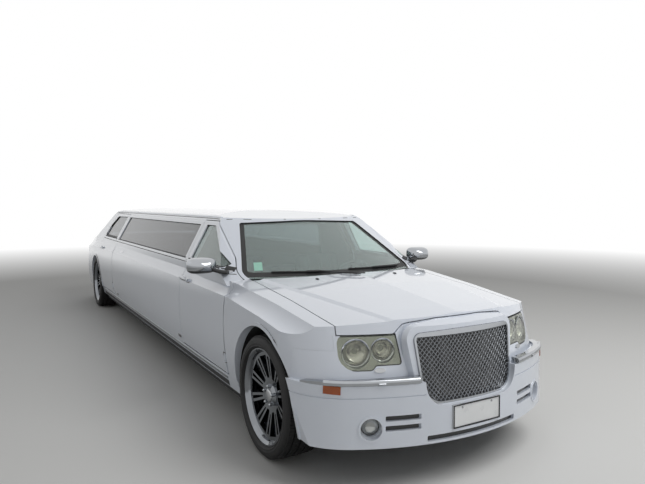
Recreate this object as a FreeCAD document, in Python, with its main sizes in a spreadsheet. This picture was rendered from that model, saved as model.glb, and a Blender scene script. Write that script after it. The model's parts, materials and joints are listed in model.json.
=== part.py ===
import FreeCAD, Part
import math
import os

from FreeCAD import Placement, Rotation, Vector

# Stretch limousine: a four-door saloon lengthened between its front and rear doors.
# +X forward, +Y left, +Z up, origin on the ground under the middle of the car, millimetres.

SIZES = [
    # alias, value, what it is
    ("wheelbase", 6096, "front axle to rear axle"),
    ("front_overhang", 880, "front axle to the nose of the bumper"),
    ("rear_overhang", 1080, "rear axle to the back of the rear bumper"),
    ("track", 1600, "wheel centre to wheel centre across the car"),
    ("ride_radius", 372, "tyre outside radius, also the axle height"),
    ("tyre_width", 265, "tyre section width"),
    ("bead_radius", 279.4, "rim bead seat radius"),
    ("lip_radius", 291, "rim lip radius"),
    ("rim_half", 118, "half the rim's width over its lips"),
    ("spindle_radius", 30, "hub spindle radius"),
    ("running_fit", 0.05, "radial clearance of a pin in its bore"),
    ("front_arch", 430, "front wheel arch radius"),
    ("rear_arch", 397, "rear wheel arch radius"),
    ("envelope_half", 950, "half width that limits the plan outline"),
    ("belly", 255, "underside of sills and bumpers"),
    ("sill_half", 885, "half width at the underside"),
    ("waist_half", 942, "half width at the fullest point"),
    ("waist_height", 620, "height of the fullest point"),
    ("side_wall", 70, "thickness of doors and body sides"),
    ("skin", 30, "thickness of bonnet, boot lid and deck"),
    ("end_wall", 60, "thickness of nose and tail"),
    ("ledge_height", 590, "top of the front bumper's ledge"),
    ("nose_step", 81, "how far the nose stands back of the bumper"),
    ("nose_lean", 0.27, "rearward lean of the nose for each unit of height"),
    ("tail_step", 22, "how far the tail stands ahead of the rear bumper"),
    ("tail_lean", 0.10, "forward lean of the tail for each unit of height"),
    ("nose_radius", 1500, "plan radius of the nose"),
    ("nose_arc_half", 720, "half width of that arc"),
    ("tail_radius", 2500, "plan radius of the tail"),
    ("tail_arc_half", 700, "half width of that arc"),
    ("belt_half", 885, "glasshouse half width at the belt"),
    ("belt_height", 1045, "glasshouse belt height"),
    ("rail_half", 705, "half width at the top of the side glass"),
    ("rail_height", 1385, "height of the top of the side glass"),
    ("gutter_half", 615, "half width at the roof's edge"),
    ("gutter_height", 1447, "height of the roof's edge"),
    ("roof_height", 1483, "top of the roof"),
    ("screen_base", 480, "front axle back to the windscreen's base at the centre"),
    ("screen_lean", 1.76, "run of the windscreen for each unit of height"),
    ("rear_screen_base", 430, "rear axle back to the rear window's base"),
    ("rear_screen_lean", 1.70, "run of the rear window for each unit of height"),
    ("screen_radius", 1560, "plan radius of both screens"),
    ("pillar_depth", 48, "depth of the screen pillars and the roof"),
    ("glass", 5, "glass thickness"),
    ("glass_set", 10, "glass below the outer skin"),
    ("fit", 0.3, "clearance of a seated piece"),
    ("seam", 0.8, "line between fixed panels"),
    ("shut", 6, "gap around a door or lid"),
    ("door_front", 607, "front axle back to the front door's leading edge"),
    ("front_door_length", 1073, "front door"),
    ("rear_door_front", 1308, "rear axle forward to the rear door's leading edge"),
    ("rear_door_length", 968, "rear door"),
    ("sill_top", 350, "top of the sill"),
    ("door_top", 1402, "top of the doors"),
    ("bonnet_half", 725, "half width of the bonnet"),
    ("bonnet_back", 418, "front axle back to the bonnet's rear edge at the centre"),
    ("lid_half", 700, "half width of the boot lid"),
    ("lid_front", 460, "rear axle back to the boot lid's front edge"),
    ("lid_bottom", 626, "bottom of the boot lid"),
    ("cowl_drop", 40, "cowl top below the bonnet's line"),
    ("header", 829, "lower edge of the bonnet's nose"),
    ("wing_cut", 383, "front axle forward to the bumper's side joint"),
    ("bumper_side_top", 750, "top of the front bumper's side"),
    ("rear_bumper_top", 620, "top of the rear bumper"),
    ("floor_height", 190, "underside of the floor"),
    ("floor_gauge", 35, "floor thickness"),
    ("boot_floor", 480, "underside of the boot floor"),
    ("bulkhead", 560, "front axle back to the bulkhead"),
    ("rail_inner", 340, "chassis rail inner face from the centre"),
    ("rail_width", 80, "chassis rail width"),
    ("rail_low", 160, "underside of the chassis rails"),
    ("rail_depth", 62, "chassis rail depth"),
    ("kingpin_half", 745, "steering axis from the centre"),
    ("pin_radius", 10, "kingpin and hinge pin radius"),
    ("disc_radius", 165, "brake disc radius"),
    ("hinge_inset", 24, "door hinge axis inboard of the waist"),
    ("hinge_back", 14, "door hinge axis behind the leading edge"),
]

doc = FreeCAD.newDocument("stretch_limousine")
sheet = doc.addObject("Spreadsheet::Sheet", "sizes")
for row, (alias, value, meaning) in enumerate(SIZES, start=1):
    sheet.set(f"A{row}", alias)
    sheet.set(f"B{row}", str(value))
    sheet.set(f"C{row}", meaning)
    sheet.setAlias(f"B{row}", alias)
doc.recompute()


class Sheet:
    """Reads a size from the spreadsheet by its alias."""

    def __getattr__(self, alias):
        return float(sheet.get(alias))


size = Sheet()
FRONT = (size.wheelbase + size.rear_overhang - size.front_overhang) / 2
REAR = FRONT - size.wheelbase
NOSE = FRONT + size.front_overhang
TAIL = REAR - size.rear_overhang
FAR = NOSE + 2000
FRONT_X = "(sizes.wheelbase + sizes.rear_overhang - sizes.front_overhang) / 2"
REAR_X = "(sizes.rear_overhang - sizes.front_overhang - sizes.wheelbase) / 2"
LEFT = 1
RIGHT = -1
SIDES = (("left", LEFT), ("right", RIGHT))

PLANES = {
    "xy": (lambda a, b, c: Vector(a, b, c), Vector(0, 0, 1)),
    "xz": (lambda a, b, c: Vector(a, c, b), Vector(0, 1, 0)),
    "yz": (lambda a, b, c: Vector(c, a, b), Vector(1, 0, 0)),
}


# Shape helpers -------------------------------------------------------------------------------


def grown(corners, grow):
    """Moves each edge of a closed outline outwards by grow; corners are (a, b, radius)."""
    count = len(corners)
    area = sum(
        corners[i][0] * corners[(i + 1) % count][1] - corners[(i + 1) % count][0] * corners[i][1]
        for i in range(count)
    )
    turn = 1 if area > 0 else -1
    lines = []
    for i in range(count):
        a0, b0, _ = corners[i]
        a1, b1, _ = corners[(i + 1) % count]
        length = math.hypot(a1 - a0, b1 - b0)
        along = ((a1 - a0) / length, (b1 - b0) / length)
        out = (along[1] * turn, -along[0] * turn)
        lines.append((a0 + out[0] * grow, b0 + out[1] * grow, along))
    moved = []
    for i in range(count):
        a0, b0, u = lines[i - 1]
        a1, b1, v = lines[i]
        cross = u[0] * v[1] - u[1] * v[0]
        step = ((a1 - a0) * v[1] - (b1 - b0) * v[0]) / cross
        bend = grow if cross * turn > 0 else -grow
        radius = corners[i][2]
        moved.append((a0 + u[0] * step, b0 + u[1] * step, max(radius + bend, 0) if radius else 0))
    return moved


def outline_wire(plane, corners, at, grow=0.0):
    """Closed wire of an outline with rounded corners, on the named plane at a distance."""
    place, _ = PLANES[plane]
    corners = grown(corners, grow) if grow else corners
    edges = []
    ends = []
    count = len(corners)
    for i in range(count):
        a, b, radius = corners[i]
        here = place(a, b, at)
        if not radius:
            ends.append((here, None, here))
            continue
        before = (place(*corners[i - 1][:2], at) - here).normalize()
        after = (place(*corners[(i + 1) % count][:2], at) - here).normalize()
        half = before.getAngle(after) / 2
        reach = radius / math.tan(half)
        middle = (before + after).normalize()
        via = here + middle * (radius / math.sin(half) - radius)
        ends.append((here + before * reach, via, here + after * reach))
    for i in range(count):
        start, via, end = ends[i]
        if via is not None:
            edges.append(Part.Arc(start, via, end).toShape())
        following = ends[(i + 1) % count][0]
        if end.distanceToPoint(following) > 1e-6:
            edges.append(Part.LineSegment(end, following).toShape())
    return Part.Wire(edges)


def faceted(corners, pieces=5):
    """Outline with each rounded corner turned into short straight edges."""
    outline = []
    count = len(corners)
    for i in range(count):
        a, b, radius = corners[i]
        here = Vector(a, b, 0)
        before = (Vector(*corners[i - 1][:2], 0) - here).normalize()
        after = (Vector(*corners[(i + 1) % count][:2], 0) - here).normalize()
        half = before.getAngle(after) / 2
        centre = here + (before + after).normalize() * (radius / math.sin(half))
        reach = radius / math.tan(half)
        start = here + before * reach - centre
        end = here + after * reach - centre
        for step in range(pieces + 1):
            share = step / pieces
            spoke = (start * (1 - share) + end * share).normalize() * radius
            outline.append((centre.x + spoke.x, centre.y + spoke.y, 0))
    return outline


def slab(plane, corners, low, high, grow=0.0):
    """Prism of a closed outline with rounded corners, across the named plane from low to high."""
    normal = PLANES[plane][1]
    return Part.Face(outline_wire(plane, corners, low, grow)).extrude(normal * (high - low))


def block(x0, x1, y0, y1, z0, z1):
    """Box between two corners."""
    low = Vector(min(x0, x1), min(y0, y1), min(z0, z1))
    return Part.makeBox(abs(x1 - x0), abs(y1 - y0), abs(z1 - z0), low)


def rod(start, end, radius):
    """Cylinder from one point to another."""
    along = end - start
    return Part.makeCylinder(radius, along.Length, start, along)


def mirrored(shape):
    """The same shape on the other side of the car."""
    return shape.mirror(Vector(0, 0, 0), Vector(0, 1, 0))


def both(shape):
    """A left-hand shape and its mirror image."""
    return Part.makeCompound([shape, mirrored(shape)])


def moved(shape, dx=0.0, dy=0.0, dz=0.0):
    """A shifted copy."""
    copy = shape.copy()
    copy.translate(Vector(dx, dy, dz))
    return copy


def joined(*shapes):
    """Fuses shapes and drops the seams between flush faces."""
    return shapes[0].multiFuse(list(shapes[1:])).removeSplitter()


def largest(shape, keep=1):
    """The keep largest solids of a shape."""
    solids = sorted(shape.Solids, key=lambda solid: solid.Volume, reverse=True)[:keep]
    return solids[0] if keep == 1 else Part.makeCompound(solids)


# Body envelope -------------------------------------------------------------------------------

STATIONS = [
    # x, crown height, edge half width, edge height, shoulder half width, shoulder height
    (NOSE + 40, 886, 770, 796, 925, 715),
    (FRONT + 560, 928, 812, 862, 933, 790),
    (FRONT, 988, 828, 932, 939, 862),
    (FRONT - 560, 1030, 850, 985, 934, 903),
    (FRONT - 1680, 1042, 880, 1030, 932, 911),
    (REAR + 500, 1062, 880, 1045, 932, 914),
    (REAR - 250, 1083, 862, 1040, 936, 904),
    (TAIL - 40, 1052, 790, 985, 918, 842),
]
SHOULDER_BULGE = 13


def station_wire(station, side, skin, drop):
    """Cross-section of the lower body, set in by side and skin, its underside lowered by drop."""
    x, crown, edge_half, edge_height, shoulder_half, shoulder_height = station
    foot = Vector(x, size.sill_half - side, size.belly - drop)
    waist = Vector(x, size.waist_half - side, size.waist_height)
    shoulder = Vector(x, shoulder_half - side, shoulder_height - skin / 2)
    edge = Vector(x, edge_half - side, edge_height - skin)
    across = (edge - shoulder).cross(Vector(1, 0, 0)).normalize()
    knuckle = (shoulder + edge) / 2 - across * SHOULDER_BULGE
    left = [foot, waist, shoulder, knuckle, edge]
    right = [Vector(p.x, -p.y, p.z) for p in left]
    edges = [
        Part.Arc(left[0], left[1], left[2]),
        Part.Arc(left[2], left[3], left[4]),
        Part.Arc(left[4], Vector(x, 0, crown - skin), right[4]),
        Part.Arc(right[4], right[3], right[2]),
        Part.Arc(right[2], right[1], right[0]),
        Part.LineSegment(right[0], left[0]),
    ]
    return Part.Wire([edge.toShape() for edge in edges])


def end_edges(reach, radius, arc_half, inset, way):
    """Plan curve of the nose (way 1) or tail (way -1): a wide arc with a tangent corner each side."""
    swing = math.asin(arc_half / radius)
    corner = (size.envelope_half - arc_half) / (1 - math.sin(swing))
    middle = reach - way * radius

    def on_arc(angle):
        return Vector(middle + way * (radius - inset) * math.cos(angle), (radius - inset) * math.sin(angle), 0)

    hub_x = middle + way * (radius - corner) * math.cos(swing)
    hub_y = (radius - corner) * math.sin(swing)
    inner = corner - inset

    def on_corner(angle, side):
        return Vector(hub_x + way * inner * math.cos(angle), side * (hub_y + inner * math.sin(angle)), 0)

    half_way = (swing + math.pi / 2) / 2
    wide = Part.Arc(on_arc(-swing), on_arc(0), on_arc(swing))
    left = Part.Arc(on_arc(swing), on_corner(half_way, 1), on_corner(math.pi / 2, 1))
    right = Part.Arc(on_corner(math.pi / 2, -1), on_corner(half_way, -1), on_arc(-swing))
    return [right.toShape(), wide.toShape(), left.toShape()], on_corner(math.pi / 2, 1), on_corner(math.pi / 2, -1)


def plan_prism(reach, radius, arc_half, inset, way, low, high, lean=0.0):
    """Everything behind a nose (or ahead of a tail) between two heights; lean tilts it with height."""
    edges, left, right = end_edges(reach, radius, arc_half, inset, way)
    back_left = Vector(-way * FAR, left.y, 0)
    back_right = Vector(-way * FAR, right.y, 0)
    edges.append(Part.LineSegment(left, back_left).toShape())
    edges.append(Part.LineSegment(back_left, back_right).toShape())
    edges.append(Part.LineSegment(back_right, right).toShape())
    face = Part.Face(Part.Wire(Part.__sortEdges__(edges)))
    face.translate(Vector(0, 0, low))
    return face.extrude(Vector(-way * lean * (high - low), 0, high - low))


def nose_prism(inset, low, high, reach=None, lean=0.0):
    """Plan outline of the nose as a prism."""
    reach = NOSE if reach is None else reach
    return plan_prism(reach, size.nose_radius, size.nose_arc_half, inset, 1, low, high, lean)


def tail_prism(inset, low, high, reach=None, lean=0.0):
    """Plan outline of the tail as a prism."""
    reach = TAIL if reach is None else reach
    return plan_prism(reach, size.tail_radius, size.tail_arc_half, inset, -1, low, high, lean)


def lower_body(side=0.0, skin=0.0, end=0.0, drop=0.0):
    """Lower body as a solid, set in by the given thicknesses."""
    ledge = size.ledge_height - skin
    loft = Part.makeLoft([station_wire(row, side, skin, drop) for row in STATIONS], True, True)
    low = nose_prism(end, -100, ledge).common(tail_prism(end, -100, ledge))
    nose = nose_prism(end, ledge, 1300, NOSE - size.nose_step, size.nose_lean)
    tail = tail_prism(end, ledge, 1300, TAIL + size.tail_step, size.tail_lean)
    return loft.common(low.fuse(nose.common(tail)))


def screen_prism(x, way, lean, low, high):
    """Everything behind the windscreen (way 1) or ahead of the rear window (way -1)."""
    half = size.envelope_half
    back = x - way * (size.screen_radius - math.sqrt(size.screen_radius ** 2 - half ** 2))
    edges = [
        Part.Arc(Vector(back, -half, low), Vector(x, 0, low), Vector(back, half, low)).toShape(),
        Part.LineSegment(Vector(back, half, low), Vector(-way * FAR, half, low)).toShape(),
        Part.LineSegment(Vector(-way * FAR, half, low), Vector(-way * FAR, -half, low)).toShape(),
        Part.LineSegment(Vector(-way * FAR, -half, low), Vector(back, -half, low)).toShape(),
    ]
    return Part.Face(Part.Wire(edges)).extrude(Vector(-way * lean * (high - low), 0, high - low))


SCREEN_DATUM = 1000
REAR_SCREEN_DATUM = 1080
FRONT_SCREEN_X = FRONT - size.screen_base
REAR_SCREEN_X = REAR - size.rear_screen_base


def glasshouse(inset=0.0, base=960.0):
    """Cabin above the belt as a solid, set in all round by inset, from the height base up."""
    side = inset / math.cos(math.atan2(size.belt_half - size.rail_half, size.rail_height - size.belt_height))
    belt = Vector(0, size.belt_half - side, size.belt_height)
    rail = Vector(0, size.rail_half - side, size.rail_height - inset / 4)
    gutter = Vector(0, size.gutter_half - side, size.gutter_height - inset)
    turn = (rail + gutter) / 2 + Vector(0, 7, 7)
    left = [Vector(0, belt.y, base), belt, rail, turn, gutter]
    right = [Vector(0, -p.y, p.z) for p in left]
    edges = [
        Part.LineSegment(left[0], left[1]),
        Part.LineSegment(left[1], left[2]),
        Part.Arc(left[2], left[3], left[4]),
        Part.Arc(left[4], Vector(0, 0, size.roof_height - inset), right[4]),
        Part.Arc(right[4], right[3], right[2]),
        Part.LineSegment(right[2], right[1]),
        Part.LineSegment(right[1], right[0]),
        Part.LineSegment(right[0], left[0]),
    ]
    face = Part.Face(Part.Wire([edge.toShape() for edge in edges]))
    face.translate(Vector(-FAR, 0, 0))
    tube = face.extrude(Vector(2 * FAR, 0, 0))
    top = 1600
    front_set = inset * math.hypot(1, size.screen_lean)
    rear_set = inset * math.hypot(1, size.rear_screen_lean)
    front_x = FRONT_SCREEN_X - front_set + size.screen_lean * (SCREEN_DATUM - base)
    rear_x = REAR_SCREEN_X + rear_set - size.rear_screen_lean * (REAR_SCREEN_DATUM - base)
    front = screen_prism(front_x, 1, size.screen_lean, base, top)
    rear = screen_prism(rear_x, -1, size.rear_screen_lean, base, top)
    roof = slab("xz", roof_profile(inset), -1000, 1000)
    return tube.common(front).common(rear).common(roof)


def roof_profile(inset):
    """Side view of the roof: level over the stretch, falling a little to each screen."""
    top = size.roof_height - inset
    front_end = FRONT_SCREEN_X - size.screen_lean * (size.rail_height - SCREEN_DATUM)
    rear_end = REAR_SCREEN_X + size.rear_screen_lean * (size.rail_height - REAR_SCREEN_DATUM)
    return [
        (-FAR, 0, 0),
        (FAR, 0, 0),
        (FAR, size.rail_height - inset, 0),
        (front_end + 60, size.rail_height + 22 - inset, 0),
        (front_end - 900, top + 2, 3000),
        (rear_end + 700, top + 2, 3000),
        (rear_end - 60, size.rail_height + 20 - inset, 0),
        (-FAR, size.rail_height - inset, 0),
    ]


def body_side(x0, x1, z0, z1, side=LEFT):
    """A block that takes in one side of the car between two stations and two heights."""
    return block(x0, x1, side * 400, side * 1100, z0, z1)


lower_outer = lower_body()
lower_inner = lower_body(size.side_wall, size.skin, size.end_wall, 200)
cabin_outer = glasshouse()
cabin_inner = glasshouse(size.pillar_depth, 880)
lower_wall = lower_outer.cut(lower_inner).cut(cabin_inner)
upper_wall = cabin_outer.cut(cabin_inner).cut(lower_outer)
glass_shell = glasshouse(size.glass_set).cut(glasshouse(size.glass_set + size.glass))


def arches(grow=0.0):
    """The four wheel openings as solids."""
    holes = []
    for x, radius in ((FRONT, size.front_arch), (REAR, size.rear_arch)):
        hole = rod(Vector(x, 455, size.ride_radius), Vector(x, 1100, size.ride_radius), radius + grow)
        holes += [hole, mirrored(hole)]
    return Part.makeCompound(holes)


lower_wall = lower_wall.cut(arches())
walls = Part.makeCompound([lower_wall, upper_wall])

# Panel outlines ------------------------------------------------------------------------------

FRONT_DOOR_X = FRONT - size.door_front
B_POST_X = FRONT_DOOR_X - size.front_door_length
REAR_DOOR_X = REAR + size.rear_door_front
C_POST_X = REAR_DOOR_X - size.rear_door_length
DOOR_LOW = size.sill_top + size.shut
A_POST_TOP = FRONT_SCREEN_X - size.screen_lean * (size.door_top - SCREEN_DATUM) - 175

DOOR_OVERRUN = 40
front_door_outline = [
    (FRONT_DOOR_X, DOOR_LOW, 0),
    (FRONT_DOOR_X, 952, 0),
    (FRONT_DOOR_X - 95, 1016, 0),
    (A_POST_TOP, size.door_top, 60),
    (B_POST_X - DOOR_OVERRUN, size.door_top, 0),
    (B_POST_X - DOOR_OVERRUN, DOOR_LOW, 0),
]
rear_door_outline = [
    (REAR_DOOR_X, DOOR_LOW, 0),
    (REAR_DOOR_X, size.door_top, 12),
    (C_POST_X + 170, size.door_top, 90),
    (C_POST_X - DOOR_OVERRUN, 1200, 120),
    (C_POST_X - DOOR_OVERRUN, DOOR_LOW, 0),
]
front_glass_outline = [
    (FRONT_DOOR_X - 205, 1072, 14),
    (A_POST_TOP - 22, 1364, 30),
    (B_POST_X + 78, 1366, 14),
    (B_POST_X + 78, 1080, 14),
]
rear_glass_outline = [
    (REAR_DOOR_X - 62, 1084, 14),
    (REAR_DOOR_X - 62, 1366, 14),
    (C_POST_X + 295, 1362, 90),
    (C_POST_X + 130, 1240, 90),
    (C_POST_X + 98, 1086, 14),
]
long_glass_outline = [
    (B_POST_X - 75, 1081, 14),
    (B_POST_X - 88, 1364, 14),
    (REAR_DOOR_X + 88, 1364, 14),
    (REAR_DOOR_X + 75, 1084, 14),
]
SCREEN_TOP = 1405
windscreen_outline = [(-770, 1000, 40), (-560, SCREEN_TOP - 18, 30), (0, SCREEN_TOP, 2500),
                      (560, SCREEN_TOP - 18, 30), (770, 1000, 40)]
rear_screen_outline = [(-735, 1092, 40), (-545, SCREEN_TOP - 22, 30), (545, SCREEN_TOP - 22, 30), (735, 1092, 40)]
HEADLAMP_TOP = size.header + 8
headlamp_outline = faceted([(420, HEADLAMP_TOP, 12), (726, HEADLAMP_TOP, 54), (731, 644, 82), (566, 644, 30),
                            (548, 668, 18), (407, 668, 18)])
grille_outline = [(-364, 838, 40), (-324, 455, 120), (324, 455, 120), (364, 838, 40), (0, 852, 6000)]
TAIL_LAMP_INNER = 520
TAIL_LAMP_TOP = 930
tail_lamp_outline = [(TAIL_LAMP_INNER, 776, 20), (TAIL_LAMP_INNER, TAIL_LAMP_TOP, 24), (1000, TAIL_LAMP_TOP, 0),
                     (1000, 776, 0)]

HALF_SHUT = size.shut / 2
HALF_SEAM = size.seam / 2
side_span = (300, 1100)
HINGE_Y = size.waist_half - size.hinge_inset


def hinge_x(edge_x):
    """Hinge axis station of a door whose leading shut line is at edge_x."""
    return edge_x - HALF_SHUT - size.hinge_back


def door_reach(edge_x, rear_edge, grow):
    """All that a door may fill round its hinge axis, so that its trailing edge swings clear at every height."""
    axis_x = hinge_x(edge_x)
    outline = [(math.hypot(axis_x - x, HINGE_Y - y) + grow, z) for x, y, z in rear_edge]
    outline = [(0, 0), (outline[0][0], 0), *outline, (0, rear_edge[-1][2])]
    points = [Vector(axis_x + radius, HINGE_Y, z) for radius, z in outline]
    face = Part.Face(Part.makePolygon(points + points[:1]))
    swing = face.revolve(Vector(axis_x, HINGE_Y, 0), Vector(0, 0, 1), 360)
    return swing.fuse(block(axis_x, axis_x + 400, 0, 1100, 0, 1600))


front_reach = (FRONT_DOOR_X, [(B_POST_X, 900, 1000), (B_POST_X, 560, 1480)])
rear_reach = (REAR_DOOR_X, [(C_POST_X, 900, 1000), (C_POST_X + 40, 770, 1200), (C_POST_X + 290, 560, 1480)])
ARCH_LIP = 36


def arch_cone(lip):
    """Cone round the rear wheel arch, wider inboard so that the rear door's edge swings out past it."""
    outer = size.rear_arch + lip
    return Part.makeCone(outer + 90, outer - 10, 700, Vector(REAR, 400, size.ride_radius), Vector(0, 1, 0))


SCREEN_MARGIN = 34
screen_margin = slab("yz", windscreen_outline, 900, FAR, grow=SCREEN_MARGIN)
screen_margin_gap = slab("yz", windscreen_outline, 900, FAR, grow=SCREEN_MARGIN - size.shut)
front_door_zone = slab("xz", front_door_outline, *side_span, grow=-HALF_SHUT).cut(screen_margin)
front_door_zone = front_door_zone.common(door_reach(*front_reach, -HALF_SHUT))
rear_door_zone = slab("xz", rear_door_outline, *side_span, grow=-HALF_SHUT)
rear_door_zone = rear_door_zone.common(door_reach(*rear_reach, -HALF_SHUT))
door_holes = both(Part.makeCompound([
    slab("xz", front_door_outline, *side_span, grow=HALF_SHUT).cut(screen_margin_gap).common(
        door_reach(*front_reach, HALF_SHUT)),
    slab("xz", rear_door_outline, *side_span, grow=HALF_SHUT).cut(arch_cone(ARCH_LIP - size.shut)).common(
        door_reach(*rear_reach, HALF_SHUT)),
]))
windscreen_hole = slab("yz", windscreen_outline, 900, FAR)
rear_screen_hole = slab("yz", rear_screen_outline, -FAR, REAR + 600)


NOSE_LINE = 432
bonnet_nose = [(-1000, size.header, 0), (-NOSE_LINE, size.header, 0), (-388, 866, 0), (-372, 878, 0),
               (-340, 884, 0), (-160, 898, 0), (160, 898, 0), (340, 884, 0), (372, 878, 0), (388, 866, 0),
               (NOSE_LINE, size.header, 0), (1000, size.header, 0), (1000, 1500, 0), (-1000, 1500, 0)]


def bonnet_zone(grow=0.0):
    """Plan of the bonnet, its rear edge curved like the windscreen, its nose rising over the grille."""
    half = size.bonnet_half + grow
    centre = FRONT - size.bonnet_back - grow
    sag = size.screen_radius - math.sqrt(size.screen_radius ** 2 - half ** 2)
    edges = [
        Part.Arc(Vector(centre - sag, -half, 0), Vector(centre, 0, 0), Vector(centre - sag, half, 0)).toShape(),
        Part.LineSegment(Vector(centre - sag, half, 0), Vector(NOSE, half, 0)).toShape(),
        Part.LineSegment(Vector(NOSE, half, 0), Vector(NOSE, -half, 0)).toShape(),
        Part.LineSegment(Vector(NOSE, -half, 0), Vector(centre - sag, -half, 0)).toShape(),
    ]
    plan = Part.Face(Part.Wire(edges)).extrude(Vector(0, 0, 1500))
    return plan.common(slab("yz", bonnet_nose, 0, FAR, grow=grow))


def crown_height(station, y):
    """Height of the body's crown at a station, y from the middle."""
    _, crown, edge_half, edge_height, _, _ = station
    return crown - (crown - edge_height) * (y / edge_half) ** 2


def power_dome():
    """Raised middle of the bonnet: a crease each side that closes in towards the grille, and a low ridge."""
    wires = []
    for station, crease, lift, ridge in zip(STATIONS, (345, 440, 560, 660), (0.5, 7, 9, 9), (1, 10, 14, 14)):
        x = station[0]
        outline = [
            (-crease - 40, crown_height(station, crease + 40) - 2),
            (-crease, crown_height(station, crease) + lift),
            (0, station[1] + ridge),
            (crease, crown_height(station, crease) + lift),
            (crease + 40, crown_height(station, crease + 40) - 2),
            (crease, station[3] - 10),
            (-crease, station[3] - 10),
        ]
        points = [Vector(x, y, z) for y, z in outline]
        wires.append(Part.makePolygon(points + points[:1]))
    dome = Part.makeLoft(wires, True, True)
    return dome.common(nose_prism(0, size.ledge_height, 1300, NOSE - size.nose_step, size.nose_lean))


# Publishing ----------------------------------------------------------------------------------

parts = []


def publish(name, shape):
    """Adds a sub-part whose shape is worked out in code."""
    solids = shape.Solids
    clean = solids[0] if len(solids) == 1 else Part.makeCompound(solids)
    feature = doc.addObject("Part::Feature", name)
    feature.Shape = clean
    feature.Placement = Placement()
    feature.Label = name
    parts.append(feature)
    return feature


def primitive(kind, name, **expressions):
    """Adds a Part primitive with its properties bound to the sheet."""
    item = doc.addObject(kind, name)
    for path, expression in expressions.items():
        item.setExpression(path.replace("_", "."), expression)
    return item


# Lids and doors ------------------------------------------------------------------------------



def lid_prism(grow):
    """Boot lid outline from behind: full width on top, narrower between the lamps."""
    back = -FAR
    front = REAR - size.lid_front + grow
    half = size.lid_half + grow
    between = TAIL_LAMP_INNER - HALF_SHUT + grow
    top = block(back, front, -half, half, TAIL_LAMP_TOP + HALF_SHUT - grow, 1400)
    low = block(back, front, -between, between, size.lid_bottom - size.shut / 2 - grow, 1400)
    return top.fuse(low)


lid_zone = lid_prism(-HALF_SHUT)
lid_hole = lid_prism(HALF_SHUT)
tail_lamp_zone = both(slab("yz", tail_lamp_outline, -FAR, TAIL + 190))
tail_lamp_gap = both(slab("yz", tail_lamp_outline, -FAR, TAIL + 190, grow=size.seam))
headlamp_zone = slab("yz", headlamp_outline, FRONT + 300, NOSE).cut(bonnet_zone(HALF_SHUT))
headlamp_hole = slab("yz", headlamp_outline, FRONT + 300, FAR, grow=size.fit)
grille_hole = slab("yz", grille_outline, FRONT + 300, FAR, grow=size.seam)

DOME_STEEPER = 25
bonnet = lower_wall.common(bonnet_zone(-HALF_SHUT))
dome = power_dome().common(bonnet_zone(-HALF_SHUT)).cut(moved(lower_outer, 0, 0, -DOME_STEEPER))
bonnet = largest(joined(bonnet, dome))
boot_lid = largest(lower_wall.common(lid_zone).cut(tail_lamp_gap))

HINGE_RADIUS = 16
HINGE_HEIGHT = 64
HINGE_LEAF = 14
HINGE_HEIGHTS = (470, 800)


class DoorHinge:
    """A pair of hinges on one upright axis: pins on the body's post, bored lugs on the door."""

    def __init__(self, edge_x):
        self.edge = edge_x
        self.x = hinge_x(edge_x)
        self.y = HINGE_Y
        self.sweep = math.hypot(size.hinge_back, size.hinge_inset + 2) + size.shut - 1
        self.inside = size.waist_half - size.side_wall

    def column(self, radius, low, high):
        """Upright cylinder on the hinge axis."""
        return Part.makeCylinder(radius, high - low, Vector(self.x, self.y, low))

    def body_pocket(self):
        """Room in the body for the door's leading edge to turn in."""
        return self.column(self.sweep, DOOR_LOW - size.shut, size.belt_height)

    def door_pockets(self):
        """Room in the door for the body's brackets, open to the cabin."""
        rooms = []
        for z in HINGE_HEIGHTS:
            low = z - HINGE_HEIGHT / 2 - size.shut
            high = z + HINGE_HEIGHT / 2 + size.shut
            rooms.append(self.column(HINGE_RADIUS + size.shut, low, high))
            rooms.append(block(self.x - 22, self.edge + 20, self.inside - 20, self.y, low, high))
        return Part.makeCompound(rooms)

    def brackets(self):
        """Body side: a pin between two leaves that reach inboard and forward to the post."""
        pieces = []
        for z in HINGE_HEIGHTS:
            low = z - HINGE_HEIGHT / 2
            bracket = self.column(size.pin_radius, low, low + HINGE_HEIGHT)
            for z0 in (low, low + HINGE_HEIGHT - HINGE_LEAF):
                eye = self.column(HINGE_RADIUS, z0, z0 + HINGE_LEAF)
                arm = block(self.x - 8, self.x + 8, self.inside - 17, self.y, z0, z0 + HINGE_LEAF)
                leg = block(self.x - 8, self.edge + 40, self.inside - 17, self.inside + 4, z0, z0 + HINGE_LEAF)
                bracket = bracket.fuse([eye, arm, leg])
            pieces.append(bracket)
        return pieces

    def lugs(self):
        """Door side: a bored lug on the pin."""
        pieces = []
        for z in HINGE_HEIGHTS:
            low = z - HINGE_HEIGHT / 2 + HINGE_LEAF + size.fit
            high = z + HINGE_HEIGHT / 2 - HINGE_LEAF - size.fit
            eye = self.column(HINGE_RADIUS, low, high)
            arm = block(self.x - 45, self.x, self.y - HINGE_RADIUS, self.y + 6, low, high)
            bore = self.column(size.pin_radius + size.running_fit, low - 1, high + 1)
            pieces.append(eye.fuse(arm).cut(bore))
        return pieces


front_hinge = DoorHinge(FRONT_DOOR_X)
rear_hinge = DoorHinge(REAR_DOOR_X)


def door_shell(zone, glass_outline, hinge):
    """A left-hand door: skin and window frame in one, with its hinge lugs."""
    shell = walls.common(zone)
    shell = joined(*shell.Solids) if len(shell.Solids) > 1 else shell
    shell = shell.cut(slab("xz", glass_outline, *side_span))
    shell = largest(shell.cut(hinge.door_pockets()))
    return largest(joined(shell, *hinge.lugs()))


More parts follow.
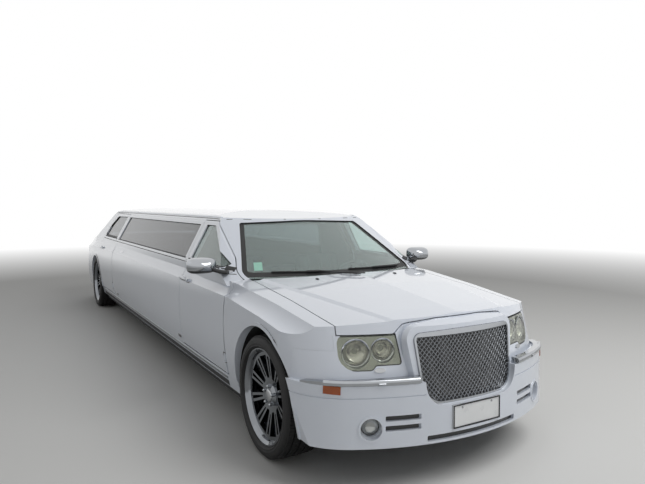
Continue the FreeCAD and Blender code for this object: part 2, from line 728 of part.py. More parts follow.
def pull_handle(x, z):
    """A bar handle standing off the skin on two feet, over a shallow cup."""
    skin_y = size.waist_half - 9
    bar = slab("xz", [(x - 105, z - 13, 12), (x + 105, z - 13, 12), (x + 105, z + 13, 12), (x - 105, z + 13, 12)],
               skin_y + 16, skin_y + 28)
    feet = block(x - 98, x - 66, skin_y - 14, skin_y + 17, z - 9, z + 9)
    feet = feet.fuse(block(x + 66, x + 98, skin_y - 14, skin_y + 17, z - 9, z + 9))
    return bar.fuse(feet)


rear_arch_clear = arch_cone(ARCH_LIP)
front_door = door_shell(front_door_zone, front_glass_outline, front_hinge)
front_door = largest(joined(front_door, pull_handle(B_POST_X + 165, 922)))
rear_door = door_shell(rear_door_zone.cut(rear_arch_clear), rear_glass_outline, rear_hinge)
rear_door = largest(joined(rear_door, pull_handle(C_POST_X + 195, 926)))

# Mirrors: a shell on a foot that stands on the front door's corner
MIRROR_X = FRONT_DOOR_X - 255
mirror_foot = slab("xz", [(MIRROR_X + 52, 1046, 8), (MIRROR_X + 118, 1028, 8), (MIRROR_X + 118, 1062, 8),
                          (MIRROR_X + 52, 1070, 8)], 840, 935)
mirror_arm = slab("xz", [(MIRROR_X - 30, 1048, 8), (MIRROR_X + 118, 1036, 8), (MIRROR_X + 118, 1060, 8),
                         (MIRROR_X - 30, 1078, 8)], 905, 935)
mirror_head = slab("yz", [(905, 1040, 26), (1118, 1046, 40), (1112, 1150, 34), (918, 1152, 34)],
                   MIRROR_X - 50, MIRROR_X + 62)
mirror_nose = slab("xz", [(MIRROR_X - 60, 1000, 0), (MIRROR_X + 30, 1000, 40), (MIRROR_X + 66, 1098, 46),
                          (MIRROR_X + 30, 1190, 40), (MIRROR_X - 60, 1190, 0)], 880, 1140)
mirror = largest(joined(mirror_head.common(mirror_nose), mirror_foot, mirror_arm).cut(front_door))

for side_name, side in SIDES:
    turn = (lambda shape: shape) if side == LEFT else mirrored
    publish(f"front_door_{side_name}", turn(front_door))
    publish(f"rear_door_{side_name}", turn(rear_door))
    for piece, outline in (("front_door_glass", front_glass_outline), ("rear_door_glass", rear_glass_outline)):
        pane = glass_shell.common(slab("xz", outline, *side_span, grow=-size.fit))
        pane = largest(pane.cut(screen_margin))
        publish(f"{piece}_{side_name}", turn(pane))
    publish(f"mirror_{side_name}", turn(mirror))

publish("bonnet", bonnet)
publish("boot_lid", boot_lid)

# Fixed panels --------------------------------------------------------------------------------

bonnet_hole = bonnet_zone(HALF_SHUT)
bumper_zone = block(FRONT + size.wing_cut + HALF_SEAM, FAR, -1100, 1100, 0, size.bumper_side_top - HALF_SEAM)
nose_zone = block(FRONT + 450, FAR, -742, 742, 0, size.header)
nose_zone = nose_zone.fuse(block(FRONT + 450, FAR, -NOSE_LINE, NOSE_LINE, 0, 1000)).cut(bonnet_hole)
front_zone = bumper_zone.fuse(nose_zone)
front_zone_gap = moved(bumper_zone, -size.seam, 0, size.seam).fuse(
    block(FRONT + 450 - size.seam, FAR, -742 - size.seam, 742 + size.seam, 0, size.header))
sill_zone = block(REAR, FRONT, -1100, 1100, 0, size.sill_top)
side_zone = body_side(REAR_DOOR_X + HALF_SHUT, B_POST_X + 60, size.sill_top + size.seam, size.door_top - 2)

liner_back = 447
liner = rod(Vector(FRONT, liner_back, size.ride_radius), Vector(FRONT, size.waist_half - size.side_wall + 4,
            size.ride_radius), size.front_arch + 8)
liner_room = moved(liner, 0, size.fit, 0).fuse(moved(liner, 0, -size.fit, 0))
liner_shell = liner.cut(rod(Vector(FRONT, liner_back + 8, size.ride_radius), Vector(FRONT, 1100, size.ride_radius),
                            size.front_arch))
liner_shell = liner_shell.cut(block(FRONT - 110, FRONT + 110, 400, 470, 0, 640))
liner_shell = liner_shell.cut(block(FRONT - 600, FRONT + 600, 400, 1000, 0, size.ride_radius - 110))

rear_liner = rod(Vector(REAR, 455, size.ride_radius), Vector(REAR, size.waist_half - size.side_wall + 4,
                 size.ride_radius), size.rear_arch + 8)
rear_liner_room = moved(rear_liner, 0, size.fit, 0).fuse(moved(rear_liner, 0, -size.fit, 0))
rear_liner_shell = rear_liner.cut(rod(Vector(REAR, 463, size.ride_radius), Vector(REAR, 1100, size.ride_radius),
                                      size.rear_arch))
rear_liner_shell = rear_liner_shell.cut(block(REAR - 70, REAR + 70, 400, 480, 0, 470))
rear_liner_shell = rear_liner_shell.cut(block(REAR - 600, REAR + 600, 400, 1000, 0, size.ride_radius - 110))

GUTTER = 12
GUTTER_LIP = 46
GUTTER_LOW = 835


def gutter(x0, x1, half):
    """Rain channel that runs from the wing in under the edge of a lid, which rests on it."""
    under = moved(lower_inner, 0, 0, -GUTTER)
    inside = size.waist_half - size.side_wall + 2
    fixed = lower_inner.cut(under).common(block(x0, x1, half + size.shut, inside, GUTTER_LOW, 1300))
    lip = moved(lower_inner, 0, 0, -size.fit).cut(under)
    lip = lip.common(block(x0, x1, half - GUTTER_LIP, half + size.shut, GUTTER_LOW, 1300))
    return joined(largest(fixed), largest(lip))


FLARE = 6
FLARE_WIDTH = 22


def flare(x, radius):
    """Raised lip round a wheel arch, on the left."""
    ring = rod(Vector(x, 700, size.ride_radius), Vector(x, 1000, size.ride_radius), radius + FLARE_WIDTH)
    ring = ring.cut(rod(Vector(x, 690, size.ride_radius), Vector(x, 1010, size.ride_radius), radius))
    ring = ring.common(block(x - 600, x + 600, 700, 1000, size.belly, 1000))
    return lower_body(-FLARE).common(ring).cut(lower_body(FLARE))


front_flare = flare(FRONT, size.front_arch)
rear_flare = flare(REAR, size.rear_arch)
front_pocket = front_hinge.body_pocket()
rear_pocket = rear_hinge.body_pocket()

wing = lower_wall.common(block(FRONT_DOOR_X - 300, FAR, size.bonnet_half + HALF_SHUT, 1100, 0, 1300))
wing = wing.cut(door_holes).cut(sill_zone).cut(bonnet_hole).cut(front_zone_gap).cut(front_pocket)
wing = largest(wing)
bonnet_gutter = gutter(FRONT - size.bulkhead + 40, FRONT + 430, size.bonnet_half)
wing_flare = front_flare.cut(front_zone_gap).cut(sill_zone).cut(door_holes)
wing = largest(joined(wing, liner_shell, bonnet_gutter, wing_flare, *front_hinge.brackets()))

centre_side = walls.common(side_zone)
centre_side = joined(*centre_side.Solids) if len(centre_side.Solids) > 1 else centre_side
centre_side = largest(centre_side.cut(door_holes).cut(slab("xz", long_glass_outline, *side_span)).cut(rear_pocket))
centre_side = largest(joined(centre_side, *rear_hinge.brackets()))

roof_cut = block(-FAR, FAR, -1100, 1100, 0, size.door_top - 2 + size.seam)
ahead = block(B_POST_X + 200, FAR, -1100, 1100, 0, 1600)
roof = upper_wall.cut(door_holes).cut(windscreen_hole).cut(rear_screen_hole).cut(roof_cut.cut(ahead))
roof = largest(roof)

quarter_zone = block(-FAR, C_POST_X + 330, 0, 1100, 0, size.door_top - 2)
quarter = walls.common(quarter_zone)
quarter = joined(*quarter.Solids)
rear_bumper_zone = block(-FAR, REAR - 560, -1100, 1100, 0, size.rear_bumper_top)
quarter = quarter.cut(door_holes).cut(lid_hole).cut(rear_screen_hole).cut(sill_zone)
quarter = quarter.cut(moved(rear_bumper_zone, size.seam, 0, size.seam)).cut(tail_lamp_gap)
deck_zone = block(REAR - size.lid_front + HALF_SHUT, REAR - 100, -680, 680, 900, 1120)
quarter = quarter.cut(deck_zone)
quarter = largest(quarter)
lid_gutter = gutter(TAIL + 200, REAR - size.lid_front - 20, size.lid_half)
quarter_flare = rear_flare.cut(sill_zone).cut(moved(rear_bumper_zone, size.seam, 0, size.seam))
quarter = largest(joined(quarter, rear_liner_shell.cut(rear_door), lid_gutter, quarter_flare.cut(door_holes)))
rear_deck = largest(walls.common(deck_zone.common(block(-FAR, FAR, -679.7, 679.7, 0, 1120))).cut(rear_screen_hole))

for side_name, side in SIDES:
    turn = (lambda shape: shape) if side == LEFT else mirrored
    publish(f"front_wing_{side_name}", turn(wing))
    publish(f"centre_side_{side_name}", turn(centre_side))
    publish(f"rear_wing_{side_name}", turn(quarter))

publish("roof", roof)
publish("rear_deck", rear_deck)
sills = lower_wall.common(block(REAR, FRONT, -1100, 1100, 0, size.sill_top))
sills = sills.cut(both(liner_room)).cut(both(rear_liner_room))
publish("sills", largest(sills, 2))
long_pane = glass_shell.common(slab("xz", long_glass_outline, *side_span, grow=-size.fit))
publish("long_windows", both(largest(long_pane)))
publish("windscreen", largest(glass_shell.common(slab("yz", windscreen_outline, 900, FAR, grow=-size.fit))))
publish("rear_window", largest(glass_shell.common(slab("yz", rear_screen_outline, -FAR, REAR + 600, grow=-size.fit))))

cowl_zone = block(FRONT - 1000, FRONT, -size.bonnet_half - HALF_SHUT + size.seam,
                  size.bonnet_half + HALF_SHUT - size.seam, 900, 1300)
cowl = largest(moved(lower_wall, 0, 0, -size.cowl_drop).common(cowl_zone).cut(bonnet_hole))
publish("cowl", cowl)

# Nose ----------------------------------------------------------------------------------------

GRILLE_REACH = NOSE - 27
GRILLE_LEAN = 0.12
GRILLE_LOW = 440
grille_body = nose_prism(0, GRILLE_LOW, 900, GRILLE_REACH, GRILLE_LEAN)


def grille_plate(front, back):
    """Curved plate between two depths behind the grille's face."""
    return moved(grille_body, -front).cut(moved(grille_body, -back))


SHELL = [
    # x, how far the grille's painted surround stands outside its opening there
    (NOSE - 168, 48),
    (NOSE - 75, 20),
    (NOSE - 18, 6),
]
surround = Part.makeLoft([outline_wire("yz", grille_outline, x, grow) for x, grow in SHELL], True, True)
surround = surround.common(moved(grille_body, -9)).cut(bonnet_hole)
FOG_Y = 627
FOG_Z = 360
FOG_RADIUS = 58
FOG_BEZEL = 70
fog_turn = math.asin(FOG_Y / size.nose_radius)
fog_axis = Vector(math.cos(fog_turn), math.sin(fog_turn), 0)
fog_face = Vector(NOSE - size.nose_radius, 0, FOG_Z) + fog_axis * size.nose_radius
fog_hole = rod(fog_face - fog_axis * 120, fog_face + fog_axis * 60, FOG_RADIUS + size.fit)
fog_bezel = rod(fog_face - fog_axis * 62, fog_face + fog_axis * 4, FOG_BEZEL)
vents = [
    slab("yz", [(365, z, 6), (556, z, 6), (556, z + 30, 6), (365, z + 30, 6)], FRONT + 300, FAR)
    for z in (344, 396)
]
low_slot = slab("yz", [(-330, 268, 8), (330, 268, 8), (330, 300, 8), (-330, 300, 8)], FRONT + 300, FAR)
PLATE_HALF = 176
PLATE_LOW = 318
PLATE_HEIGHT = 128
GROOVE = 5
GROOVE_Z = 522
groove = block(FRONT + 300, FAR, 340, 1100, GROOVE_Z, GROOVE_Z + GROOVE).cut(
    nose_prism(GROOVE, GROOVE_Z - 1, GROOVE_Z + GROOVE + 1))
plate_pocket = block(NOSE - 16, FAR, -PLATE_HALF - 3, PLATE_HALF + 3, PLATE_LOW - 3, PLATE_LOW + PLATE_HEIGHT + 3)

bumper = lower_wall.common(front_zone)
bumper = bumper.cut(grille_hole).cut(both(headlamp_hole)).cut(both(liner_room))
bumper = joined(*bumper.Solids, surround) if len(bumper.Solids) > 1 else joined(bumper, surround)
bumper = joined(bumper, both(fog_bezel), both(front_flare.common(front_zone)))
bumper = bumper.cut(grille_hole).cut(both(fog_hole)).cut(both(Part.makeCompound(vents))).cut(low_slot)
bumper = bumper.cut(plate_pocket).cut(both(groove))
publish("front_bumper", largest(bumper))

GRILLE_RIM = 11
GRILLE_BAR = 34
grille_window = slab("yz", grille_outline, FRONT + 300, FAR, grow=-GRILLE_RIM)
grille_window = grille_window.common(block(FRONT, FAR, -400, 400, 0, 852 - GRILLE_BAR))
frame_ring = grille_plate(0, 40).common(slab("yz", grille_outline, FRONT + 300, FAR)).cut(grille_window)
publish("grille_frame", largest(frame_ring))

MESH_PITCH = 40
MESH_BAR = 7


def mesh_layer(front, back, lean):
    """Slanting parallel bars between two depths, trimmed to the grille's window."""
    plate = grille_plate(front, back).common(grille_window)
    bars = []
    low, high = 430, 880
    run = (high - low) * 1.0
    for step in range(-13, 14):
        foot = step * MESH_PITCH * math.sqrt(2) - lean * run / 2
        half = MESH_BAR / math.sqrt(2)
        bars.append(slab("yz", [(foot - half, low, 0), (foot + half, low, 0), (foot + lean * run + half, high, 0),
                                (foot + lean * run - half, high, 0)], FRONT + 300, FAR))
    return plate.common(Part.makeCompound(bars))


mesh = joined(*mesh_layer(14, 18, 1).Solids, *mesh_layer(18, 22, -1).Solids)
publish("grille_mesh", largest(mesh))

LENS = 6
HOUSING_DEPTH = 75


def nose_face(inset):
    """Everything behind the nose's upper face, set back by inset."""
    return nose_prism(inset, size.ledge_height, 1300, NOSE - size.nose_step, size.nose_lean)


lens = headlamp_zone.common(nose_face(0)).cut(nose_face(LENS))
housing = headlamp_zone.common(nose_face(LENS + size.fit)).cut(nose_face(HOUSING_DEPTH))
BOWL_DEPTH = 46
BOWLS = [
    # y, z, mouth radius
    (640, 736, 80),
    (500, 748, 68),
]
for y, z, radius in BOWLS:
    turn = math.asin(y / size.nose_radius)
    out = Vector(math.cos(turn), math.sin(turn), 0)
    mouth = Vector(NOSE - size.nose_step - size.nose_radius, 0, z) + out * (size.nose_radius - LENS)
    mouth -= Vector(size.nose_lean * (z - size.ledge_height), 0, 0)
    bowl = Part.makeCone(radius * 0.5, radius, BOWL_DEPTH, mouth - out * (BOWL_DEPTH + 4), out)
    housing = housing.cut(bowl.fuse(rod(mouth - out * 4.5, mouth + out * 90, radius)))
publish("headlamp_housings", both(largest(housing)))
publish("headlamp_lenses", both(largest(lens)))

fog = rod(fog_face - fog_axis * 95, fog_face - fog_axis * 44, FOG_RADIUS)
fog = fog.cut(Part.makeSphere(60, fog_face - fog_axis * 12))
publish("fog_lamps", both(fog))

strip = nose_prism(2, size.ledge_height + size.fit, 630).cut(nose_prism(42, 0, 700))
strip = strip.common(slab("xz", [(NOSE - 20, 580, 0), (NOSE - 20, 628, 0), (NOSE - 400, 600, 0), (NOSE - 400, 580, 0)],
                          360, 1100))
publish("bumper_brightwork", both(largest(strip)))

plates = [
    block(NOSE - 16 + size.fit, NOSE - 4, -PLATE_HALF, PLATE_HALF, PLATE_LOW, PLATE_LOW + PLATE_HEIGHT),
]
publish("number_plate", Part.makeCompound(plates))

# Tail ----------------------------------------------------------------------------------------

publish("rear_bumper", largest(lower_wall.common(rear_bumper_zone)))
publish("tail_lamps", largest(lower_wall.common(tail_lamp_zone), 2))

# Underbody -----------------------------------------------------------------------------------

BULKHEAD_X = FRONT - size.bulkhead
FLOOR_TOP = size.floor_height + size.floor_gauge
KICK_X = REAR + 480
inner_fit = lower_body(size.side_wall + size.fit, size.skin + size.fit, size.end_wall + size.fit, 200)
cabin_floor = inner_fit.common(block(KICK_X, BULKHEAD_X, -1000, 1000, size.floor_height, FLOOR_TOP))
boot_floor = inner_fit.common(block(-FAR, KICK_X, -1000, 1000, size.boot_floor, size.boot_floor + size.floor_gauge))
kick = inner_fit.common(block(KICK_X, KICK_X + 35, -1000, 1000, size.floor_height, size.boot_floor + size.floor_gauge))
firewall = inner_fit.common(block(BULKHEAD_X, BULKHEAD_X + 30, -1000, 1000, size.floor_height, 960))
firewall = firewall.cut(cowl)
HORN_LOW = size.belly + 35
rails = []
for side in (LEFT, RIGHT):
    inner = side * size.rail_inner
    outer = side * (size.rail_inner + size.rail_width)
    low = size.rail_low
    rails.append(block(TAIL + 120, FRONT + 170, inner, outer, low, low + size.rail_depth))
    rails.append(block(FRONT + 110, FRONT + 170, inner, outer, low, HORN_LOW + size.rail_depth))
    rails.append(block(FRONT + 110, NOSE - 190, inner, outer, HORN_LOW, HORN_LOW + size.rail_depth))
    rails.append(block(TAIL + 120, KICK_X, inner, outer, low + size.rail_depth, size.boot_floor))
TUNNEL_HALF = 140
tunnel = block(KICK_X, BULKHEAD_X, -TUNNEL_HALF, TUNNEL_HALF, FLOOR_TOP - 1, FLOOR_TOP + 105)
tunnel_room = block(KICK_X - 1, BULKHEAD_X + 40, -TUNNEL_HALF + 30, TUNNEL_HALF - 30, 0, FLOOR_TOP + 75)
rear_wheel_room = both(rod(Vector(REAR, 455 - size.fit, size.ride_radius), Vector(REAR, 1100, size.ride_radius),
                           size.rear_arch + 8 + size.fit))
underbody = joined(cabin_floor, boot_floor, kick, firewall, tunnel).cut(tunnel_room)
underbody = joined(underbody, *rails)
tunnel_clear = block(KICK_X, BULKHEAD_X, -TUNNEL_HALF - size.fit, TUNNEL_HALF + size.fit, FLOOR_TOP - 1,
                     FLOOR_TOP + 105 + size.fit)
axle_room = block(REAR - 80, REAR + 80, -454, 454, size.rail_low + size.rail_depth, size.ride_radius + 70)
underbody = underbody.cut(rear_wheel_room).cut(axle_room)
publish("underbody", largest(underbody))

# Running gear --------------------------------------------------------------------------------

ARM_HALF = 30
ARM_END = 30
AXLE = size.ride_radius
RAIL_OUT = size.rail_inner + size.rail_width
cross_low = size.rail_low - 36
crossmember = block(FRONT - 75, FRONT + 75, -RAIL_OUT - 24, RAIL_OUT + 24, cross_low, size.rail_low)
LOWER_ARM = (AXLE - 185, AXLE - 157)
UPPER_ARM = (AXLE + 170, AXLE + 198)


def arms(side):
    """Tower on the chassis rail with a lower and an upper arm, each with its ball pin."""
    pieces = [block(FRONT - 50, FRONT + 50, side * RAIL_OUT, side * (RAIL_OUT + 24), cross_low, UPPER_ARM[1])]
    for low, high in (LOWER_ARM, UPPER_ARM):
        pieces.append(block(FRONT - ARM_HALF, FRONT + ARM_HALF, side * RAIL_OUT, side * size.kingpin_half, low, high))
        pieces.append(Part.makeCylinder(ARM_END, high - low, Vector(FRONT, side * size.kingpin_half, low)))
    pin_at = Vector(FRONT, side * size.kingpin_half, LOWER_ARM[1] - 2)
    pieces.append(Part.makeCylinder(size.pin_radius, 32, pin_at))
    pin_at = Vector(FRONT, side * size.kingpin_half, UPPER_ARM[0] - 30)
    pieces.append(Part.makeCylinder(size.pin_radius, 32, pin_at))
    return pieces


subframe = joined(crossmember, *arms(LEFT), *arms(RIGHT))
publish("front_subframe", subframe)

HUB_FACE = 74
HUB_CAP = 20
SPINDLE_END = size.track / 2 + HUB_FACE - HUB_CAP - size.fit
DISC_GAUGE = 26


def spindle(x, side):
    """Hub spindle with its brake disc, outboard of the upright."""
    start = Vector(x, side * (size.kingpin_half + 20), AXLE)
    end = Vector(x, side * SPINDLE_END, AXLE)
    disc_at = Vector(x, side * (size.kingpin_half + 34), AXLE)
    disc_end = disc_at + Vector(0, side * DISC_GAUGE, 0)
    return rod(start, end, size.spindle_radius).fuse(rod(disc_at, disc_end, size.disc_radius)).fuse(
        rod(start, disc_end + Vector(0, side * 4, 0), 70))


def upright(side):
    """Steering knuckle: a forged upright bored for both ball pins."""
    y = side * size.kingpin_half
    low = LOWER_ARM[1] + size.fit
    high = UPPER_ARM[0] - size.fit
    post = slab("xz", [(FRONT - 34, low, 8), (FRONT + 34, low, 8), (FRONT + 58, AXLE, 40), (FRONT + 34, high, 8),
                       (FRONT - 34, high, 8), (FRONT - 58, AXLE, 40)], y - 26, y + 26)
    arm = block(FRONT - 190, FRONT, y - 22, y - 6, AXLE - 60, AXLE - 36)
    bore = Part.makeCylinder(size.pin_radius + size.running_fit, high - low + 10, Vector(FRONT, y, low - 5))
    return joined(post, arm, spindle(FRONT, side)).cut(bore)


def axle_half(side):
    """One side of the rear axle: bracket on the rail, casing and spindle."""
    inner = side * size.rail_inner
    bracket = block(REAR - 60, REAR + 60, inner, side * RAIL_OUT, size.rail_low + size.rail_depth, AXLE + 40)
    casing = rod(Vector(REAR, 0, AXLE), Vector(REAR, side * (size.kingpin_half + 25), AXLE), 46)
    return [bracket, casing, spindle(REAR, side)]


differential = Part.makeCylinder(118, 190, Vector(REAR - 30, -95, AXLE - 10), Vector(0, 1, 0))
differential = differential.common(block(REAR - 200, REAR + 200, -200, 200, 0, AXLE + 66))
publish("rear_axle", joined(differential, *axle_half(LEFT), *axle_half(RIGHT)))
for side_name, side in SIDES:
    publish(f"knuckle_{side_name}", upright(side))

# Wheels --------------------------------------------------------------------------------------

SPOKE_PAIRS = 10


def wheel_profile(body, name, points):
    """Closed profile in the body's XZ plane, turned about its Z axis."""
    sketch = body.newObject("Sketcher::SketchObject", name)
    plane = next(item for item in body.Origin.OriginFeatures if item.Role == "XZ_Plane")
    sketch.AttachmentSupport = [(plane, "")]
    sketch.MapMode = "FlatFace"
    count = len(points)
    for i in range(count):
        start = Vector(*points[i], 0)
        end = Vector(*points[(i + 1) % count], 0)
        sketch.addGeometry(Part.LineSegment(start, end))
    turned = body.newObject("PartDesign::Revolution", f"{name}_turned")
    turned.Profile = sketch
    turned.ReferenceAxis = (sketch, ["V_Axis"])
    turned.Angle = 360
    return turned


def rim_window(body, name, inner, outer, inner_half, outer_half, turn):
    """Opening between spokes: a tapered cut through the face, repeated round the hub."""
    sketch = body.newObject("Sketcher::SketchObject", name)
    plane = next(item for item in body.Origin.OriginFeatures if item.Role == "XY_Plane")
    sketch.AttachmentSupport = [(plane, "")]
    sketch.MapMode = "FlatFace"
    corners = [(inner, -inner_half), (outer, -outer_half), (outer, outer_half), (inner, inner_half)]
    placed = [
        Vector(a * math.cos(turn) - b * math.sin(turn), a * math.sin(turn) + b * math.cos(turn), 0)
        for a, b in corners
    ]
    for i in range(4):
        sketch.addGeometry(Part.LineSegment(placed[i], placed[(i + 1) % 4]))
    pocket = body.newObject("PartDesign::Pocket", f"{name}_cut")
    pocket.Profile = sketch
    pocket.Type = 1
    pocket.Reversed = True
    pattern = body.newObject("PartDesign::PolarPattern", f"{name}_ring")
    pattern.Originals = [pocket]
    pattern.Axis = (sketch, ["N_Axis"])
    pattern.Angle = 360
    pattern.Occurrences = SPOKE_PAIRS
    body.Tip = pattern
    return pattern


def wheel_placement(x, side):
    """Wheel-fixed axes: local Z points outboard."""
    return Placement(Vector(x, side * size.track / 2, AXLE), Rotation(Vector(1, 0, 0), -90 * side))


def make_rim(name, x, side):
    """Wide-lipped rim with paired slim spokes, turned and then cut through."""
    body = doc.addObject("PartDesign::Body", name)
    half = size.rim_half
    lip = size.lip_radius
    bead = size.bead_radius
    profile = [
        (lip, half), (lip, half - 6), (bead, half - 13), (bead, -half + 13), (lip, -half + 6), (lip, -half),
        (bead - 10, -half + 18), (253, 52), (90, 30), (size.spindle_radius + size.running_fit, 20),
        (size.spindle_radius + size.running_fit, HUB_FACE - HUB_CAP), (0.5, HUB_FACE - HUB_CAP), (0.5, HUB_FACE),
        (48, HUB_FACE), (62, 56), (262, 86), (268, half - 18), (lip - 8, half),
    ]
    wheel_profile(body, f"{name}_profile", profile)
    rim_window(body, f"{name}_gap", 104, 242, 14, 48, 0)
    rim_window(body, f"{name}_slot", 120, 240, 5, 11, math.pi / SPOKE_PAIRS)
    body.Label = name
    body.Placement = wheel_placement(x, side)
    parts.append(body)


def make_tyre(name, x, side):
    """Low-profile tyre, turned."""
    body = doc.addObject("PartDesign::Body", name)
    half = size.tyre_width / 2
    outer = size.ride_radius
    bead = size.bead_radius + size.fit
    lip = size.lip_radius + size.fit
    seat = size.rim_half - 13.6
    wall = [(bead, seat), (lip, size.rim_half - 6.6), (lip + 24, half), (outer, half - 30)]
    profile = wall + [(r, -z) for r, z in reversed(wall)]
    wheel_profile(body, f"{name}_profile", profile)
    body.Label = name
    body.Placement = wheel_placement(x, side)
    parts.append(body)


for axle_name, axle_x in (("front", FRONT), ("rear", REAR)):
    for side_name, side in SIDES:
        make_rim(f"rim_{axle_name}_{side_name}", axle_x, side)
        make_tyre(f"tyre_{axle_name}_{side_name}", axle_x, side)

# Drive and exhaust ---------------------------------------------------------------------------

engine = primitive(
    "Part::Box", "engine_block",
    Length="640 mm", Width="sizes.rail_inner * 1 mm + 180 mm", Height="600 mm",
    Placement_Base_x=f"{FRONT_X} - 300", Placement_Base_y="-(sizes.rail_inner + 180) / 2",
    Placement_Base_z="sizes.rail_low + sizes.fit",
)
engine.Label = "engine_block"
parts.append(engine)

radiator = primitive(
    "Part::Box", "radiator",
    Length="50 mm", Width="sizes.rail_inner * 2 mm + 40 mm", Height="340 mm",
    Placement_Base_x=f"{FRONT_X} + 590", Placement_Base_y="-sizes.rail_inner - 20",
    Placement_Base_z="sizes.belly + 35 + sizes.rail_depth + sizes.fit",
)
radiator.Label = "radiator"
parts.append(radiator)

PIPE_Y = 560
PIPE_RADIUS = 27
PIPE_Z = size.floor_height - 38


def pipe(side):
    """Exhaust line under the floor with its silencer and tail pipe."""
    y = side * PIPE_Y
    run = rod(Vector(BULKHEAD_X + 20, y, PIPE_Z), Vector(KICK_X - 200, y, PIPE_Z), PIPE_RADIUS)
    hanger = block(0, 40, y - 12, y + 12, PIPE_Z, size.floor_height - size.fit)
    return run.fuse(hanger)


silencer_z = 330


def silencer(side):
    """Rear silencer under the boot floor, its outlet dipping below the bumper."""
    y = side * 560
    can = slab("yz", [(y - 110, silencer_z - 60, 50), (y + 110, silencer_z - 60, 50), (y + 110, silencer_z + 60, 50),
                      (y - 110, silencer_z + 60, 50)], REAR - 830, REAR - 480)
    bend = Vector(TAIL + 165, y, size.belly - 36)
    outlet = rod(Vector(REAR - 800, y, silencer_z), bend, 30).fuse(Part.makeSphere(30, bend))
    outlet = outlet.fuse(rod(bend, Vector(TAIL + 14, y, bend.z), 30))
    hanger = block(REAR - 740, REAR - 700, y - 12, y + 12, silencer_z + 50, size.boot_floor - size.fit)
    return joined(can, outlet, hanger)


publish("exhaust", Part.makeCompound([pipe(LEFT), pipe(RIGHT), silencer(LEFT), silencer(RIGHT)]))

# Cabin ---------------------------------------------------------------------------------------

DRIVER_Y = 370
DASH_HALF = 735
dash_face = BULKHEAD_X - 330
dash = slab("xz", [(dash_face, 720, 30), (dash_face + 20, 870, 50), (dash_face + 150, 905, 60),
                   (BULKHEAD_X - size.fit, 870, 0), (BULKHEAD_X - size.fit, 640, 0), (dash_face + 60, 640, 30)],
            -DASH_HALF, DASH_HALF)
wheel_centre = Vector(dash_face - 130, DRIVER_Y, 880)
column_axis = Vector(-math.cos(math.radians(24)), 0, math.sin(math.radians(24)))
shaft_end = wheel_centre - column_axis * 260
dash = dash.cut(rod(shaft_end - column_axis * 5, wheel_centre, 16 + size.running_fit))
publish("dashboard", largest(dash))

RIM_SECTION = [(186 + 14 * math.cos(i * math.pi / 3), 14 * math.sin(i * math.pi / 3)) for i in range(7)]
wheel_rim = Part.Face(Part.makePolygon([Vector(r, 0, z) for r, z in RIM_SECTION]))
wheel_rim = wheel_rim.revolve(Vector(), Vector(0, 0, 1), 360)
wheel_rim.Placement = Placement(wheel_centre, Rotation(Vector(0, 0, 1), column_axis))
hub = rod(wheel_centre - column_axis * 30, wheel_centre + column_axis * 12, 52)
shaft = rod(shaft_end, wheel_centre, 16)
across = Vector(0, 1, 0)
upward = column_axis.cross(across).normalize()
spokes = [rod(wheel_centre, wheel_centre + direction * 184, 11) for direction in (across, -across, upward * -1)]
publish("steering_wheel", joined(wheel_rim, hub, shaft, *spokes))

SEAT_Z = FLOOR_TOP + size.fit


def chair(y):
    """Front seat: plinth, cushion and a leaning back in one closed form."""
    profile = [(1560, SEAT_Z, 20), (1540, 500, 40), (1400, 1060, 50), (1490, 1080, 40), (1640, 560, 60),
               (2040, 570, 50), (2060, 440, 40), (1990, SEAT_Z, 20)]
    return slab("xz", [(x + FRONT - 3148, z, r) for x, z, r in profile], y - 255, y + 255)


publish("front_seats", Part.makeCompound([chair(DRIVER_Y + 25), chair(-DRIVER_Y - 25)]))

SOFA_BACK = KICK_X + 40
sofa = slab("xz", [(SOFA_BACK + 560, SEAT_Z, 20), (SOFA_BACK + 580, 560, 50), (SOFA_BACK + 150, 540, 60),
                   (SOFA_BACK - 40, 1040, 50), (SOFA_BACK - 180, 1030, 50), (SOFA_BACK - 20, 520 + size.fit, 0),
                   (SOFA_BACK, 500, 0), (SOFA_BACK, SEAT_Z, 0)], -780, 780)
sofa = sofa.cut(tunnel_clear).cut(block(-FAR, KICK_X + 35 + size.fit, -1000, 1000, 0, size.boot_floor + size.floor_gauge + size.fit))
bench_end = B_POST_X - 260
bench = slab("yz", [(-820, SEAT_Z, 0), (-820, 980, 40), (-700, 990, 40), (-640, 560, 60), (-330, 560, 50),
                    (-350, SEAT_Z, 20)], SOFA_BACK + 640, bench_end)
publish("cabin_seats", Part.makeCompound([largest(sofa), bench]))

PARTITION_X = B_POST_X - 120
partition = block(PARTITION_X, PARTITION_X + 30, -1000, 1000, FLOOR_TOP + size.fit, 1500)
partition = partition.common(inner_fit.fuse(glasshouse(size.pillar_depth + size.fit, 880)))
partition = partition.cut(tunnel_clear)
partition = partition.cut(slab("yz", [(-520, 960, 40), (520, 960, 40), (480, 1340, 40), (-480, 1340, 40)],
                               PARTITION_X - 10, PARTITION_X + 60))
publish("partition", largest(partition))

# Checking and writing ------------------------------------------------------------------------

doc.recompute()
for item in doc.Objects:
    if "Invalid" in item.State or "Error" in item.State:
        raise RuntimeError(f"{item.Label} failed: {item.State}")
os.makedirs("parts", exist_ok=True)
for part in parts:
    if part.Shape.isNull() or not part.Shape.isValid():
        raise RuntimeError(f"{part.Label} has no valid shape")
    part.Shape.exportStep(f"parts/{part.Label}.step")
    box = part.Shape.BoundBox
    print(f"{part.Label:24s} solids {len(part.Shape.Solids)} volume {part.Shape.Volume / 1e6:9.2f} "
          f"x {box.XMin:8.1f} {box.XMax:8.1f} y {box.YMin:8.1f} {box.YMax:8.1f} z {box.ZMin:7.1f} {box.ZMax:7.1f}")
print(len(parts), "parts")
